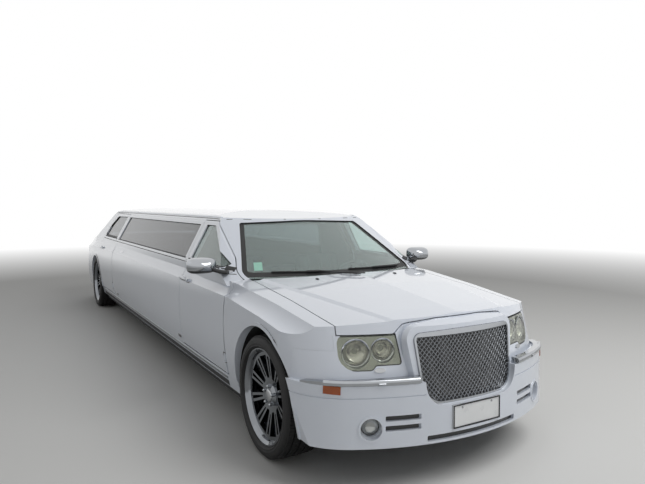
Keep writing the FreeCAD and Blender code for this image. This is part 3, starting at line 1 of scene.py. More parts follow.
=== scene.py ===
"""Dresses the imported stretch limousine: finishes, trim, lamps, tyres, seats, camera and studio."""

import json
import logging
import math
from dataclasses import dataclass, field
from enum import Enum

import bmesh
import bpy
from mathutils import Matrix, Vector
from mathutils.bvhtree import BVHTree

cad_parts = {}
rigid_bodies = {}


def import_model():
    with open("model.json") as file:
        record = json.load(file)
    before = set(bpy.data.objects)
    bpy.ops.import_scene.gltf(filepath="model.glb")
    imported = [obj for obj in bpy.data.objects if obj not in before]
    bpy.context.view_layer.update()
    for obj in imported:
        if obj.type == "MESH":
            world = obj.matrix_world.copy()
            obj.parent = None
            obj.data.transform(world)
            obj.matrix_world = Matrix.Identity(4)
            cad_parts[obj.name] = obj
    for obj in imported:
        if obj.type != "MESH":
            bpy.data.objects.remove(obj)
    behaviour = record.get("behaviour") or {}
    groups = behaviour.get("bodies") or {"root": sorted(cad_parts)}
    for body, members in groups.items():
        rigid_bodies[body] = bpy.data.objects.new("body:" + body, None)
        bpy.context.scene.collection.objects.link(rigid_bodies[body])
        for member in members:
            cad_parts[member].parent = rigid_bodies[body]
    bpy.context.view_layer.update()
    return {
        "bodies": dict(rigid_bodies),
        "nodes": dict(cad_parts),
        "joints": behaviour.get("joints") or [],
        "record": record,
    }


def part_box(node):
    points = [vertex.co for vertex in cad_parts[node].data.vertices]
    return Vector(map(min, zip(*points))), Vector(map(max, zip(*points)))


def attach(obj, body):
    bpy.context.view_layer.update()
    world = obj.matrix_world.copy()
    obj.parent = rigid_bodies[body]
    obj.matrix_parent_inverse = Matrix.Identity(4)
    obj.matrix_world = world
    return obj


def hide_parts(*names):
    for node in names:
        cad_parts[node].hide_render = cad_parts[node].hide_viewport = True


LOG = logging.getLogger("limousine")
MM = 0.001


class Side(Enum):
    """The two sides of the car, with the sign that Y has there."""

    LEFT = 1
    RIGHT = -1

    @property
    def label(self) -> str:
        """Names the side in nodes and pieces.

        Returns:
            The side's name in small letters.
        """
        return self.name.lower()


class Spread(Enum):
    """Where a finish shows its second tone."""

    NONE = "none"
    INWARD = "inward"
    LOWER = "lower"


# Finishes ------------------------------------------------------------------------------------


def linear(sheet_colour: str) -> tuple[float, float, float, float]:
    """Turns an sRGB hex colour into linear values.

    Args:
        sheet_colour: Colour as six hex digits after a hash sign.

    Returns:
        Linear red, green and blue, with an alpha of one.
    """
    channels = [int(sheet_colour[i : i + 2], 16) / 255 for i in (1, 3, 5)]
    parts = [c / 12.92 if c <= 0.04045 else ((c + 0.055) / 1.055) ** 2.4 for c in channels]
    return (*parts, 1.0)


def add_node(tree: bpy.types.NodeTree, kind: str, settings: dict | None = None, links: dict | None = None):
    """Adds a node, sets its properties and input values, and links its inputs.

    Args:
        tree: Node tree that takes the node.
        kind: Type name of the node.
        settings: Attribute or input names (or input numbers) with their values.
        links: Input names or numbers with the output sockets that feed them.

    Returns:
        The new node.
    """
    node = tree.nodes.new(kind)
    for key, value in (settings or {}).items():
        if isinstance(key, str) and hasattr(node, key):
            setattr(node, key, value)
        else:
            node.inputs[key].default_value = value
    for key, source in (links or {}).items():
        tree.links.new(source, node.inputs[key])
    return node


@dataclass(frozen=True)
class Finish:
    """A surface: its colour, gloss, fine grain and slow change of tone."""

    name: str
    colour: str
    second: str = ""
    metallic: float = 0.0
    roughness: float = 0.5
    roughness_swing: float = 0.06
    ior: float = 1.5
    coat: float = 0.0
    coat_roughness: float = 0.03
    transmission: float = 0.0
    grain_mm: float = 2.0
    grain_depth_mm: float = 0.0
    tone_mm: float = 260.0
    tone_swing: float = 0.06
    spread: Spread = Spread.NONE
    edge_at: float = 0.0
    edge_soft: float = 0.02
    second_metallic: float = 0.0
    second_roughness: float = 0.6

    def mask(self, tree: bpy.types.NodeTree, place: bpy.types.NodeSocket) -> bpy.types.NodeSocket | None:
        """Works out where the second tone lies.

        Args:
            tree: Node tree of the material.
            place: Object coordinates.

        Returns:
            A socket that is one where the second tone shows, or None.
        """
        if self.spread is Spread.NONE:
            return None
        axes = add_node(tree, "ShaderNodeSeparateXYZ", links={0: place})
        if self.spread is Spread.INWARD:
            shape = add_node(tree, "ShaderNodeNewGeometry")
            middle = add_node(tree, "ShaderNodeCombineXYZ", {0: 0.0, 2: self.edge_at}, {0: axes.outputs["X"]})
            outward = add_node(tree, "ShaderNodeVectorMath", {"operation": "SUBTRACT"},
                               {0: place, 1: middle.outputs[0]})
            facing = add_node(tree, "ShaderNodeVectorMath", {"operation": "DOT_PRODUCT"},
                              {0: outward.outputs[0], 1: shape.outputs["True Normal"]})
            return add_node(tree, "ShaderNodeMath", {"operation": "LESS_THAN", 1: -0.1},
                            {0: facing.outputs["Value"]}).outputs[0]
        return add_node(
            tree, "ShaderNodeMapRange",
            {"From Min": self.edge_at - self.edge_soft, "From Max": self.edge_at + self.edge_soft,
             "To Min": 1.0, "To Max": 0.0},
            {"Value": axes.outputs["Z"]},
        ).outputs[0]

    def build(self) -> bpy.types.Material:
        """Makes the material's nodes.

        Returns:
            The finished material.
        """
        made = bpy.data.materials.new(self.name)
        made.use_nodes = True
        tree = made.node_tree
        tree.nodes.clear()
        place = add_node(tree, "ShaderNodeTexCoord").outputs["Object"]
        tone = add_node(tree, "ShaderNodeTexNoise", {"Scale": 1 / (self.tone_mm * MM), "Detail": 4.0},
                        {"Vector": place})
        swing = add_node(tree, "ShaderNodeMapRange", {"To Min": 1 - self.tone_swing, "To Max": 1.0,
                                                      "From Min": 0.35, "From Max": 0.65},
                         {"Value": tone.outputs["Fac"]})
        base = add_node(tree, "ShaderNodeVectorMath", {"operation": "SCALE", 0: linear(self.colour)[:3]},
                        {"Scale": swing.outputs[0]}).outputs[0]
        rough = add_node(tree, "ShaderNodeMapRange", {"To Min": self.roughness,
                                                      "To Max": self.roughness + self.roughness_swing},
                         {"Value": tone.outputs["Fac"]}).outputs[0]
        metal = None
        mask = self.mask(tree, place)
        if mask is not None:
            base = add_node(tree, "ShaderNodeMix", {"data_type": "RGBA", 7: linear(self.second)},
                            {0: mask, 6: base}).outputs[2]
            rough = add_node(tree, "ShaderNodeMix", {3: self.second_roughness},
                             {0: mask, 2: rough}).outputs[0]
            metal = add_node(tree, "ShaderNodeMix", {2: self.metallic, 3: self.second_metallic},
                             {0: mask}).outputs[0]
        shader = add_node(
            tree, "ShaderNodeBsdfPrincipled",
            {"Metallic": self.metallic, "IOR": self.ior, "Coat Weight": self.coat,
             "Coat Roughness": self.coat_roughness, "Transmission Weight": self.transmission},
            {"Base Color": base, "Roughness": rough},
        )
        if metal is not None:
            tree.links.new(metal, shader.inputs["Metallic"])
        if self.grain_depth_mm:
            grain = add_node(tree, "ShaderNodeTexNoise", {"Scale": 1 / (self.grain_mm * MM), "Detail": 2.0},
                             {"Vector": place})
            bump = add_node(tree, "ShaderNodeBump", {"Strength": 1.0, "Distance": self.grain_depth_mm * MM},
                            {"Height": grain.outputs["Fac"]})
            tree.links.new(bump.outputs[0], shader.inputs["Normal"])
        add_node(tree, "ShaderNodeOutputMaterial", links={0: shader.outputs[0]})
        return made


# Two-pack white lacquer over primer: a hard gloss with a slight orange peel.
LACQUER = Finish("white_lacquer", "#DEE4EE", roughness=0.32, coat=1.0, grain_mm=9, grain_depth_mm=0.02,
                 tone_mm=900, tone_swing=0.03)
# The same lacquer outside, with a dull trim board on the faces that look into the car.
LINED_LACQUER = Finish("white_lacquer_lined", "#DEE4EE", "#57534F", roughness=0.32, coat=1.0, grain_mm=9,
                       grain_depth_mm=0.02, tone_mm=900, tone_swing=0.03, spread=Spread.INWARD, edge_at=0.9,
                       second_roughness=0.75)
# Chrome plate over nickel: a mirror that picks up its surroundings.
CHROME = Finish("chrome_plate", "#AEB1B5", metallic=1.0, roughness=0.06, roughness_swing=0.05, tone_mm=60)
# Drawn wire, plated thinly over nickel, darker than the mouldings.
WIRE_CHROME = Finish("plated_wire", "#7D8084", metallic=1.0, roughness=0.22, roughness_swing=0.1, tone_mm=40)
# Chromed casting, a little uneven, that shows darker between its spokes.
WHEEL_CHROME = Finish("chromed_alloy", "#85888C", metallic=1.0, roughness=0.09, roughness_swing=0.08,
                      tone_mm=90)
# Bright cap over a dark lower shell, split at one height.
MIRROR_CAP = Finish("mirror_cap_chrome", "#AEB1B5", "#1B1C1D", metallic=1.0, roughness=0.06,
                    spread=Spread.LOWER, edge_at=1.062, edge_soft=0.002, second_roughness=0.45)
# Laminated screen with a slight green body tint, made paler all over as a painted reflection of the sky.
SCREEN_GLASS = Finish("laminated_glass", "#DDEFEC", roughness=0.0, roughness_swing=0.01, transmission=0.88,
                      tone_swing=0.02)
# The doors' glass is greener and darker than the screen.
DOOR_GLASS = Finish("green_tinted_glass", "#CBDEDA", roughness=0.0, roughness_swing=0.01, transmission=0.9,
                    tone_swing=0.02)
# Privacy glass: the cabin shows through only as dim shapes.
DARK_GLASS = Finish("privacy_glass", "#5A6166", roughness=0.02, roughness_swing=0.01, transmission=1.0,
                    tone_swing=0.03)
# Aged polycarbonate: a faint yellow haze.
LENS = Finish("aged_polycarbonate", "#E6E8DF", roughness=0.04, roughness_swing=0.12, ior=1.49,
              transmission=1.0, tone_mm=120, tone_swing=0.05)
# Moulded red acrylic with a glossy face over a half-clear body.
RED_LENS = Finish("moulded_red_acrylic", "#8E0F12", roughness=0.08, ior=1.49, transmission=0.35, coat=0.6)
# Cured rubber with a fine tooth, darker than any plastic on the car.
TYRE_RUBBER = Finish("tyre_rubber", "#09090A", roughness=0.6, roughness_swing=0.15, grain_mm=3,
                     grain_depth_mm=0.15, tone_mm=120, tone_swing=0.25)
# Grained moulding that breaks up the light instead of mirroring it.
BLACK_PLASTIC = Finish("grained_black_plastic", "#1A1B1D", roughness=0.55, grain_mm=3, grain_depth_mm=0.12,
                       tone_swing=0.15)
# Enamelled baffle that stays black with one thin glint.
GLOSS_BLACK = Finish("gloss_black_enamel", "#0C0D0E", roughness=0.2, coat=0.6, tone_swing=0.1)
# Extruded rubber, matt, so that it reads as a line of shade.
RUBBER_SEAL = Finish("rubber_seal", "#141516", roughness=0.6, grain_mm=4, grain_depth_mm=0.05,
                     tone_swing=0.15)
# Oiled steel with soft uneven glints on its forged faces.
OILED_STEEL = Finish("oiled_steel", "#5B5C5E", metallic=1.0, roughness=0.38, roughness_swing=0.2, grain_mm=5,
                     grain_depth_mm=0.1, tone_mm=90, tone_swing=0.3)
# Sand-cast iron with a coarse, nearly matt skin.
CAST_IRON = Finish("cast_iron", "#4C4B49", metallic=0.6, roughness=0.6, grain_mm=4, grain_depth_mm=0.4,
                   tone_swing=0.3)
# Sprayed underseal: thick, pebbled and without any gloss.
UNDERSEAL = Finish("underseal", "#202123", roughness=0.8, grain_mm=8, grain_depth_mm=0.6, tone_swing=0.3)
# Grained leather whose sheen changes over the padding.
LEATHER = Finish("grained_leather", "#2B2927", roughness=0.48, roughness_swing=0.15, grain_mm=4,
                 grain_depth_mm=0.35, tone_swing=0.2)
# Pressed plate under clear enamel, evenly pale.
PLATE_WHITE = Finish("plate_enamel", "#E9EBEC", roughness=0.25, coat=0.3, tone_mm=80, tone_swing=0.04)
# Moulded amber acrylic, deeper at the edges.
AMBER_LENS = Finish("moulded_amber_acrylic", "#B85A1C", roughness=0.1, ior=1.49, transmission=0.3, coat=0.5)
# Smoked acrylic marker, nearly black when unlit.
MARKER_LENS = Finish("smoked_acrylic", "#2A1614", roughness=0.12, ior=1.49, coat=0.5)
# Clear acrylic that bends what lies behind it.
CLEAR_LENS = Finish("moulded_clear_acrylic", "#F4F4F0", roughness=0.04, ior=1.49, transmission=1.0)
# Aluminised bowl that gathers light into a bright ring.
REFLECTOR = Finish("vacuum_aluminised_plastic", "#C9C8C4", metallic=1.0, roughness=0.16, tone_mm=60)
# Satin silver moulding behind the lamps' clear covers, yellowed a little by their age.
LAMP_BEZEL = Finish("aged_satin_moulding", "#9EA19B", metallic=0.85, roughness=0.26, tone_mm=80,
                    tone_swing=0.15)
# Anodised aluminium with a soft broad highlight.
SATIN_ALLOY = Finish("satin_anodised_aluminium", "#B9BBBD", metallic=1.0, roughness=0.3, tone_mm=90)
# Needled felt that swallows the light in the arches.
FELT = Finish("needled_felt", "#121213", roughness=0.95, grain_mm=4, grain_depth_mm=0.6, tone_swing=0.3)
# Tufted carpet with a broken, matt surface.
CARPET = Finish("tufted_carpet", "#2C2B2B", roughness=0.95, grain_mm=5, grain_depth_mm=1.2, tone_swing=0.3)
# Pale green paper stuck inside the screen.
DECAL = Finish("pale_green_paper", "#A5D8C6", roughness=0.6, tone_mm=30, tone_swing=0.08)
# Silvered glass, a clean mirror.
MIRROR_GLASS = Finish("silvered_glass", "#C8CCCE", metallic=1.0, roughness=0.02, roughness_swing=0.01)
# Ceramic band fired on to the glass, flat black.
FRIT = Finish("ceramic_frit", "#08090A", roughness=0.5, tone_swing=0.1)

NODE_FINISHES = {
    # node name prefix: finish
    "front_door_glass": DOOR_GLASS,
    "rear_door_glass": DARK_GLASS,
    "long_windows": DARK_GLASS,
    "rear_window": DARK_GLASS,
    "windscreen": SCREEN_GLASS,
    "front_door": LINED_LACQUER,
    "rear_door": LINED_LACQUER,
    "centre_side": LINED_LACQUER,
    "roof": LINED_LACQUER,
    "bonnet": LACQUER,
    "boot_lid": LACQUER,
    "front_wing": LINED_LACQUER,
    "rear_wing": LINED_LACQUER,
    "rear_deck": LACQUER,
    "sills": LACQUER,
    "front_bumper": LACQUER,
    "rear_bumper": LACQUER,
    "mirror": MIRROR_CAP,
    "grille_frame": CHROME,
    "grille_mesh": GLOSS_BLACK,
    "bumper_brightwork": CHROME,
    "headlamp_housings": LAMP_BEZEL,
    "headlamp_lenses": LENS,
    "fog_lamps": CHROME,
    "tail_lamps": RED_LENS,
    "rim": WHEEL_CHROME,
    "tyre": TYRE_RUBBER,
    "number_plate": PLATE_WHITE,
    "cowl": BLACK_PLASTIC,
    "dashboard": BLACK_PLASTIC,
    "steering_wheel": BLACK_PLASTIC,
    "partition": BLACK_PLASTIC,
    "radiator": BLACK_PLASTIC,
    "front_subframe": OILED_STEEL,
    "rear_axle": OILED_STEEL,
    "knuckle": OILED_STEEL,
    "exhaust": OILED_STEEL,
    "engine_block": CAST_IRON,
    "underbody": UNDERSEAL,
    "front_seats": LEATHER,
    "cabin_seats": LEATHER,
}


@dataclass
class Paintshop:
    """Builds each finish once and hands it to the pieces that use it."""

    built: dict[str, bpy.types.Material] = field(default_factory=dict)

    def material(self, finish: Finish) -> bpy.types.Material:
        """Gives the material of a finish, made on first use.

        Args:
            finish: The finish.

        Returns:
            Its material.
        """
        if finish.name not in self.built:
            self.built[finish.name] = finish.build()
        return self.built[finish.name]

    def dress_nodes(self, nodes: dict[str, bpy.types.Object]) -> None:
        """Gives every carried-over node its finish.

        Args:
            nodes: Node names with their objects.
        """
        for name, piece in nodes.items():
            prefixes = [p for p in NODE_FINISHES if name.startswith(p)]
            finish = NODE_FINISHES[max(prefixes, key=len)]
            piece.data.materials.clear()
            piece.data.materials.append(self.material(finish))


# Studio --------------------------------------------------------------------------------------


@dataclass
class Studio:
    """Floor, world, lamps and camera."""

    floor_half: float = 60.0
    floor_colour: str = "#E6E6E4"
    fade_near: float = 7.0
    fade_far: float = 16.0
    world_strength: float = 0.27
    eye: tuple[float, float, float] = (6.375, -2.345, 1.547)
    yaw_deg: float = 149.294
    pitch_deg: float = -1.706
    lens_mm: float = 32.41
    shift: tuple[float, float] = (-0.014, -0.033)
    aim: tuple[float, float, float] = (1.5, 0.0, 0.6)
    lights: tuple[tuple[str, tuple[float, float, float], float, float], ...] = (
        # name, place, size, watts
        ("key", (6.5, 2.5, 6.5), 5.0, 300.0),
        ("side", (-2.0, -8.0, 5.0), 6.0, 14.0),
    )

    def floor(self) -> None:
        """Lays a pale floor that fades to white far from the car."""
        mesh = bmesh.new()
        bmesh.ops.create_grid(mesh, x_segments=1, y_segments=1, size=self.floor_half)
        piece = new_piece("floor", mesh, None)
        made = bpy.data.materials.new("studio_floor")
        made.use_nodes = True
        tree = made.node_tree
        tree.nodes.clear()
        place = add_node(tree, "ShaderNodeTexCoord").outputs["Object"]
        reach = add_node(tree, "ShaderNodeVectorMath", {"operation": "LENGTH"}, {0: place})
        fade = add_node(tree, "ShaderNodeMapRange", {"From Min": self.fade_near, "From Max": self.fade_far},
                        {"Value": reach.outputs["Value"]})
        matt = add_node(tree, "ShaderNodeBsdfDiffuse", {"Color": linear(self.floor_colour)})
        white = add_node(tree, "ShaderNodeEmission", {"Strength": 1.0})
        mix = add_node(tree, "ShaderNodeMixShader", links={0: fade.outputs[0], 1: matt.outputs[0],
                                                           2: white.outputs[0]})
        add_node(tree, "ShaderNodeOutputMaterial", links={0: mix.outputs[0]})
        piece.data.materials.append(made)

    def world(self) -> None:
        """Makes a soft surround that the camera, metal and glass see as white."""
        world = bpy.data.worlds.new("studio")
        world.use_nodes = True
        bpy.context.scene.world = world
        tree = world.node_tree
        tree.nodes.clear()
        path = add_node(tree, "ShaderNodeLightPath")
        direct = add_node(tree, "ShaderNodeMath", {"operation": "MAXIMUM"},
                          {0: path.outputs["Is Camera Ray"], 1: path.outputs["Is Transmission Ray"]})
        seen = add_node(tree, "ShaderNodeMath", {"operation": "MAXIMUM"},
                        {0: direct.outputs[0], 1: path.outputs["Is Glossy Ray"]})
        strength = add_node(tree, "ShaderNodeMapRange", {"To Min": self.world_strength, "To Max": 1.0},
                            {"Value": seen.outputs[0]})
        shine = add_node(tree, "ShaderNodeBackground", {"Color": (1, 1, 1, 1)},
                         {"Strength": strength.outputs[0]})
        add_node(tree, "ShaderNodeOutputWorld", links={0: shine.outputs[0]})

    def lamps(self) -> None:
        """Hangs a large soft lamp over the nose and a weaker one at the side."""
        for name, place, size, watts in self.lights:
            lamp = bpy.data.lights.new(name, "AREA")
            lamp.size = size
            lamp.energy = watts
            holder = bpy.data.objects.new(name, lamp)
            holder.location = place
            aim = Vector(self.aim) - Vector(place)
            holder.rotation_euler = aim.to_track_quat("-Z", "Y").to_euler()
            bpy.context.collection.objects.link(holder)

    def camera(self) -> None:
        """Sets the camera at its view of the nose and the right-hand side."""
        data = bpy.data.cameras.new("camera")
        data.lens = self.lens_mm
        data.sensor_width = 36.0
        data.shift_x, data.shift_y = self.shift
        eye = bpy.data.objects.new("camera", data)
        yaw, pitch = math.radians(self.yaw_deg), math.radians(self.pitch_deg)
        aim = Vector((math.cos(yaw) * math.cos(pitch), math.sin(yaw) * math.cos(pitch), math.sin(pitch)))
        eye.location = self.eye
        eye.rotation_euler = aim.to_track_quat("-Z", "Y").to_euler()
        bpy.context.collection.objects.link(eye)
        bpy.context.scene.camera = eye

    def build(self) -> None:
        """Builds the studio."""
        bpy.context.scene.view_settings.view_transform = "Standard"
        self.floor()
        self.world()
        self.lamps()
        self.camera()


# Making pieces -------------------------------------------------------------------------------


def new_piece(name: str, mesh: bmesh.types.BMesh, material: bpy.types.Material | None) -> bpy.types.Object:
    """Turns a finished bmesh into an object at the origin.

    Args:
        name: Name of the object.
        mesh: The bmesh, freed here.
        material: Its finish, or None.

    Returns:
        The linked object.
    """
    data = bpy.data.meshes.new(name)
    mesh.to_mesh(data)
    mesh.free()
    piece = bpy.data.objects.new(name, data)
    bpy.context.collection.objects.link(piece)
    if material:
        data.materials.append(material)
    return piece


class View(Enum):
    """The side a trim is laid from: which two measures place it, and which way the skin is looked for."""

    SIDE = "side"
    FRONT = "front"
    REAR = "rear"
    TOP = "top"


FAR_OFF = 7.0
EDGE_HALVINGS = 14
Path = tuple[tuple[float, float], ...]
Run = list[tuple[Vector, Vector]]


class Skin:
    """Finds the outside of the carried-over panels, so that trims lie on them."""

    def __init__(self, nodes: dict[str, bpy.types.Object], prefixes: tuple[str, ...]) -> None:
        """Gathers the panels.

        Args:
            nodes: Node names with their objects.
            prefixes: Starts of the names of the panels to look at.
        """
        self.trees = []
        for name, piece in nodes.items():
            if name.startswith(prefixes):
                mesh = piece.data
                points = [v.co.copy() for v in mesh.vertices]
                self.trees.append(BVHTree.FromPolygons(points, [tuple(p.vertices) for p in mesh.polygons]))

    def at(self, view: View, a: float, b: float, sign: int = 1) -> tuple[Vector, Vector] | None:
        """Finds the outermost point of the panels.

        Args:
            view: The side it is looked at from.
            a: First measure: x, or y where the view is along the car.
            b: Second measure: z, or y where the view is from above.
            sign: Side of the car, for the side view.

        Returns:
            The point and its outward normal, or None past the panels' edge.
        """
        origin, aim = {
            View.SIDE: (Vector((a, sign * FAR_OFF, b)), Vector((0, -sign, 0))),
            View.FRONT: (Vector((FAR_OFF, a, b)), Vector((-1, 0, 0))),
            View.REAR: (Vector((-FAR_OFF, a, b)), Vector((1, 0, 0))),
            View.TOP: (Vector((a, b, FAR_OFF)), Vector((0, 0, -1))),
        }[view]
        hits = [tree.ray_cast(origin, aim) for tree in self.trees]
        hits = [h for h in hits if h[0] is not None]
        if not hits:
            return None
        place, normal, _, _ = min(hits, key=lambda h: h[3])
        if normal.dot(aim) > 0:
            normal = -normal
        return place, normal

    def along(self, view: View, points: list[tuple[float, float]], sign: int = 1) -> Run:
        """Finds the skin at each point of a line, leaving out those past its edge.

        Args:
            view: The side it is looked at from.
            points: Pairs of measures, as at() takes them.
            sign: Side of the car, for the side view.

        Returns:
            Points with their outward normals.
        """
        hits = [self.at(view, a, b, sign) for a, b in points]
        return [hit for hit in hits if hit is not None]

    def edge(self, view: View, start: tuple[float, float], far: tuple[float, float]) -> tuple[float, float]:
        """Finds the last point of the skin on the way from one point to another.

        Args:
            view: The side it is looked at from.
            start: Measures of a point on the skin.
            far: Measures of a point off it.

        Returns:
            Measures of the edge.
        """
        on, off = 0.0, 1.0
        for _ in range(EDGE_HALVINGS):
            share = (on + off) / 2
            a, b = (start[k] + (far[k] - start[k]) * share for k in range(2))
            if self.at(view, a, b) is None:
                off = share
            else:
                on = share
        return tuple(start[k] + (far[k] - start[k]) * on for k in range(2))


def section_frame(place: Vector, normal: Vector, along: Vector, wide: float, high: float) -> Matrix:
    """Lays a unit circle across a path, wide over the skin and high off it.

    Args:
        place: Middle of the section.
        normal: The skin's outward normal.
        along: Direction of the path.
        wide: Half width over the skin.
        high: Half height off it.

    Returns:
        The matrix.
    """
    tangent = along.normalized()
    across = normal.cross(tangent).normalized()
    outward = tangent.cross(across).normalized()
    turn = Matrix((across * wide, outward * high, tangent)).transposed().to_4x4()
    return Matrix.Translation(place) @ turn


def frames_along(run: Run, wide: float, high: float, lift: float = 0.0, taper: float = 0.0) -> list[Matrix]:
    """Lays a section across each point of a run.

    Args:
        run: Points with their outward normals.
        wide: Half width of the section over the skin.
        high: Half height of the section off the skin.
        lift: How far its middle stands off the points.
        taper: How much narrower each section is than the one before.

    Returns:
        One matrix a point.
    """
    last = len(run) - 1
    frames = []
    for i, (place, normal) in enumerate(run):
        along = run[min(i + 1, last)][0] - run[max(i - 1, 0)][0]
        frames.append(section_frame(place + normal * lift, normal, along, wide - taper * i, high))
    return frames


def stations_along(path: Path, count: int) -> list[tuple[float, float]]:
    """Spaces points evenly along a line of straight runs.

    Args:
        path: Corners of the line.
        count: Number of gaps between the points.

    Returns:
        One more point than there are gaps.
    """
    lengths = [math.dist(a, b) for a, b in zip(path, path[1:])]
    stops = []
    for step in range(count + 1):
        left = sum(lengths) * step / count
        for (start, end), length in zip(zip(path, path[1:]), lengths):
            if left <= length + 1e-9:
                share = left / length
                stops.append(tuple(a + (b - a) * share for a, b in zip(start, end)))
                break
            left -= length
    return stops


def sweep(mesh: bmesh.types.BMesh, frames: list[Matrix], sides: int = 8) -> None:
    """Runs a round or square section through a list of frames.

    Args:
        mesh: The bmesh that takes the bar.
        frames: Matrices that lay a unit circle at each station.
        sides: Corners of the section; four gives a flat strip.
    """
    corner = Matrix.Rotation(math.pi / sides, 4, "Z")
    reach = 1 / math.cos(math.pi / sides) if sides == 4 else 1.0
    loops = []
    for frame in frames:
        ring = bmesh.ops.create_circle(mesh, cap_ends=False, segments=sides, radius=reach,
                                       matrix=frame @ corner)
        loops.append([e for e in {e for v in ring["verts"] for e in v.link_edges}])
    for first, second in zip(loops, loops[1:]):
        bmesh.ops.bridge_loops(mesh, edges=first + second)
    for ring in (loops[0], loops[-1]):
        bmesh.ops.contextual_create(mesh, geom=ring)
    bmesh.ops.recalc_face_normals(mesh, faces=mesh.faces)


def spin_profile(mesh: bmesh.types.BMesh, profile: list[tuple[float, float]], steps: int,
                 closed: bool) -> None:
    """Turns a profile of (radius, height) points about the Z axis.

    Args:
        mesh: The bmesh that takes the turned shape.
        profile: Points, from one end to the other.
        steps: Facets around.
        closed: Joins the last point to the first.
    """
    points = [mesh.verts.new((radius, 0, height)) for radius, height in profile]
    edges = [mesh.edges.new(pair) for pair in zip(points, points[1:])]
    if closed:
        edges.append(mesh.edges.new((points[-1], points[0])))
    bmesh.ops.spin(mesh, geom=points + edges, cent=(0, 0, 0), axis=(0, 0, 1), angle=2 * math.pi, steps=steps,
                   use_merge=True)
    bmesh.ops.remove_doubles(mesh, verts=mesh.verts, dist=1e-6)
    bmesh.ops.recalc_face_normals(mesh, faces=mesh.faces)


def smooth(piece: bpy.types.Object, angle_deg: float = 35.0) -> bpy.types.Object:
    """Shades a piece smooth except over its sharp edges.

    Args:
        piece: The piece.
        angle_deg: Edges sharper than this stay sharp.

    Returns:
        The same piece.
    """
    mesh = piece.data
    mesh.shade_smooth()
    mesh.set_sharp_from_angle(angle=math.radians(angle_deg))
    return piece


@dataclass
class Builder:
    """What each sub-assembly shares: the frame, the paint shop and the ways a piece is made."""

    frame: dict
    shop: Paintshop

    @property
    def nodes(self) -> dict[str, bpy.types.Object]:
        """Gives the carried-over nodes.

        Returns:
            The nodes by name.
        """
        return self.frame["nodes"]

    def add(self, name: str, mesh: bmesh.types.BMesh, finish: Finish, body: str,
            angle_deg: float = 35.0) -> bpy.types.Object:
        """Makes the piece, shades it and seats it on its body.

        Args:
            name: Name of the piece.
            mesh: Its bmesh.
            finish: Its finish.
            body: Body that carries it.
            angle_deg: Edges sharper than this stay sharp.

        Returns:
            The finished piece.
        """
        piece = smooth(new_piece(name, mesh, self.shop.material(finish)), angle_deg)
        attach(piece, body)
        LOG.info("%s rides on %s", name, body)
        return piece

    def bar(self, name: str, frames: list[Matrix], sides: int, finish: Finish, body: str,
            angle_deg: float = 35.0) -> bpy.types.Object:
        """Sweeps one bar and adds it.

        Args:
            name: Name of the piece.
            frames: Its sections.
            sides: Corners of each section.
            finish: Its finish.
            body: Body that carries it.
            angle_deg: Edges sharper than this stay sharp.

        Returns:
            The finished piece.
        """
        mesh = bmesh.new()
        sweep(mesh, frames, sides)
        return self.add(name, mesh, finish, body, angle_deg)

    def turned(self, name: str, profile: list[tuple[float, float]], steps: int, closed: bool, place: Matrix,
               finish: Finish, body: str = "chassis") -> bpy.types.Object:
        """Turns one part about its axis, moves it to its place and adds it.

        Args:
            name: Name of the piece.
            profile: Points of radius and height.
            steps: Facets around.
            closed: Joins the last point to the first.
            place: Matrix that moves it from the origin.
            finish: Its finish.
            body: Body that carries it.

        Returns:
            The finished piece.
        """
        mesh = bmesh.new()
        spin_profile(mesh, profile, steps, closed)
        bmesh.ops.transform(mesh, matrix=place, verts=mesh.verts)
        return self.add(name, mesh, finish, body)


@dataclass(frozen=True)
class Strip:
    """A moulding along a line on the skin."""

    name: str
    body: str
    view: View
    path: Path
    wide: float
    high: float
    finish: Finish
    panels: tuple[str, ...]
    sides: int = 8
    paired: bool = True
    stations: int = 24
    lift: float = 0.0


FRONT_DOORS = ("front_door_left", "front_door_right")
REAR_DOORS = ("rear_door_left", "rear_door_right")
# How far below the belt moulding its painted shade strip lies.
BELT_SHADE_DROP = 0.015
BELT = (
    # stretch, body, line of the moulding, panels, stations
    ("front", "front_door", ((2.40, 1.046), (2.2, 1.056), (1.478, 1.066)), FRONT_DOORS, 24),
    ("centre", "chassis", ((1.458, 1.066), (-1.632, 1.066)), ("centre_side",), 60),
    ("rear", "rear_door", ((-1.650, 1.066), (-2.45, 1.068), (-2.56, 1.072)), REAR_DOORS, 24),
)
HANDLES = (
    # door, x, z
    ("front_door", 1.633, 0.922),
    ("rear_door", -2.413, 0.926),
)
# Half length and drop of the painted shade line under each door handle.
HANDLE_SHADE_HALF = 0.098
HANDLE_SHADE_DROP = 0.020
GLASS_SEALS = (
    # stretch, body, line of the seal, panels, stations
    ("front", "front_door", ((2.33, 1.064), (2.2, 1.071), (1.50, 1.080)),
     (*FRONT_DOORS, "front_door_glass"), 24),
    ("centre", "chassis", ((1.40, 1.081), (-1.58, 1.081)), ("centre_side", "long_windows"), 60),
    ("rear", "rear_door", ((-1.69, 1.083), (-2.5, 1.083)), (*REAR_DOORS, "rear_door_glass"), 24),
)
EDGE_SEALS = (
    # edge, door, line of the seal, half width, panels
    ("leading", "front_door", ((2.531, 0.37), (2.531, 0.94)), 0.014, FRONT_DOORS),
    ("trailing", "front_door", ((1.478, 0.37), (1.478, 1.05)), 0.014, FRONT_DOORS),
    ("foot", "front_door", ((1.48, 0.365), (2.53, 0.365)), 0.013, FRONT_DOORS),
    ("leading", "rear_door", ((-1.650, 0.37), (-1.650, 1.05)), 0.014, REAR_DOORS),
    ("trailing", "rear_door", ((-2.597, 0.86), (-2.597, 1.05)), 0.014, REAR_DOORS),
    ("foot", "rear_door", ((-1.66, 0.365), (-2.40, 0.365)), 0.013, REAR_DOORS),
)
NOSE_PANELS = ("bumper_brightwork", "front_bumper")
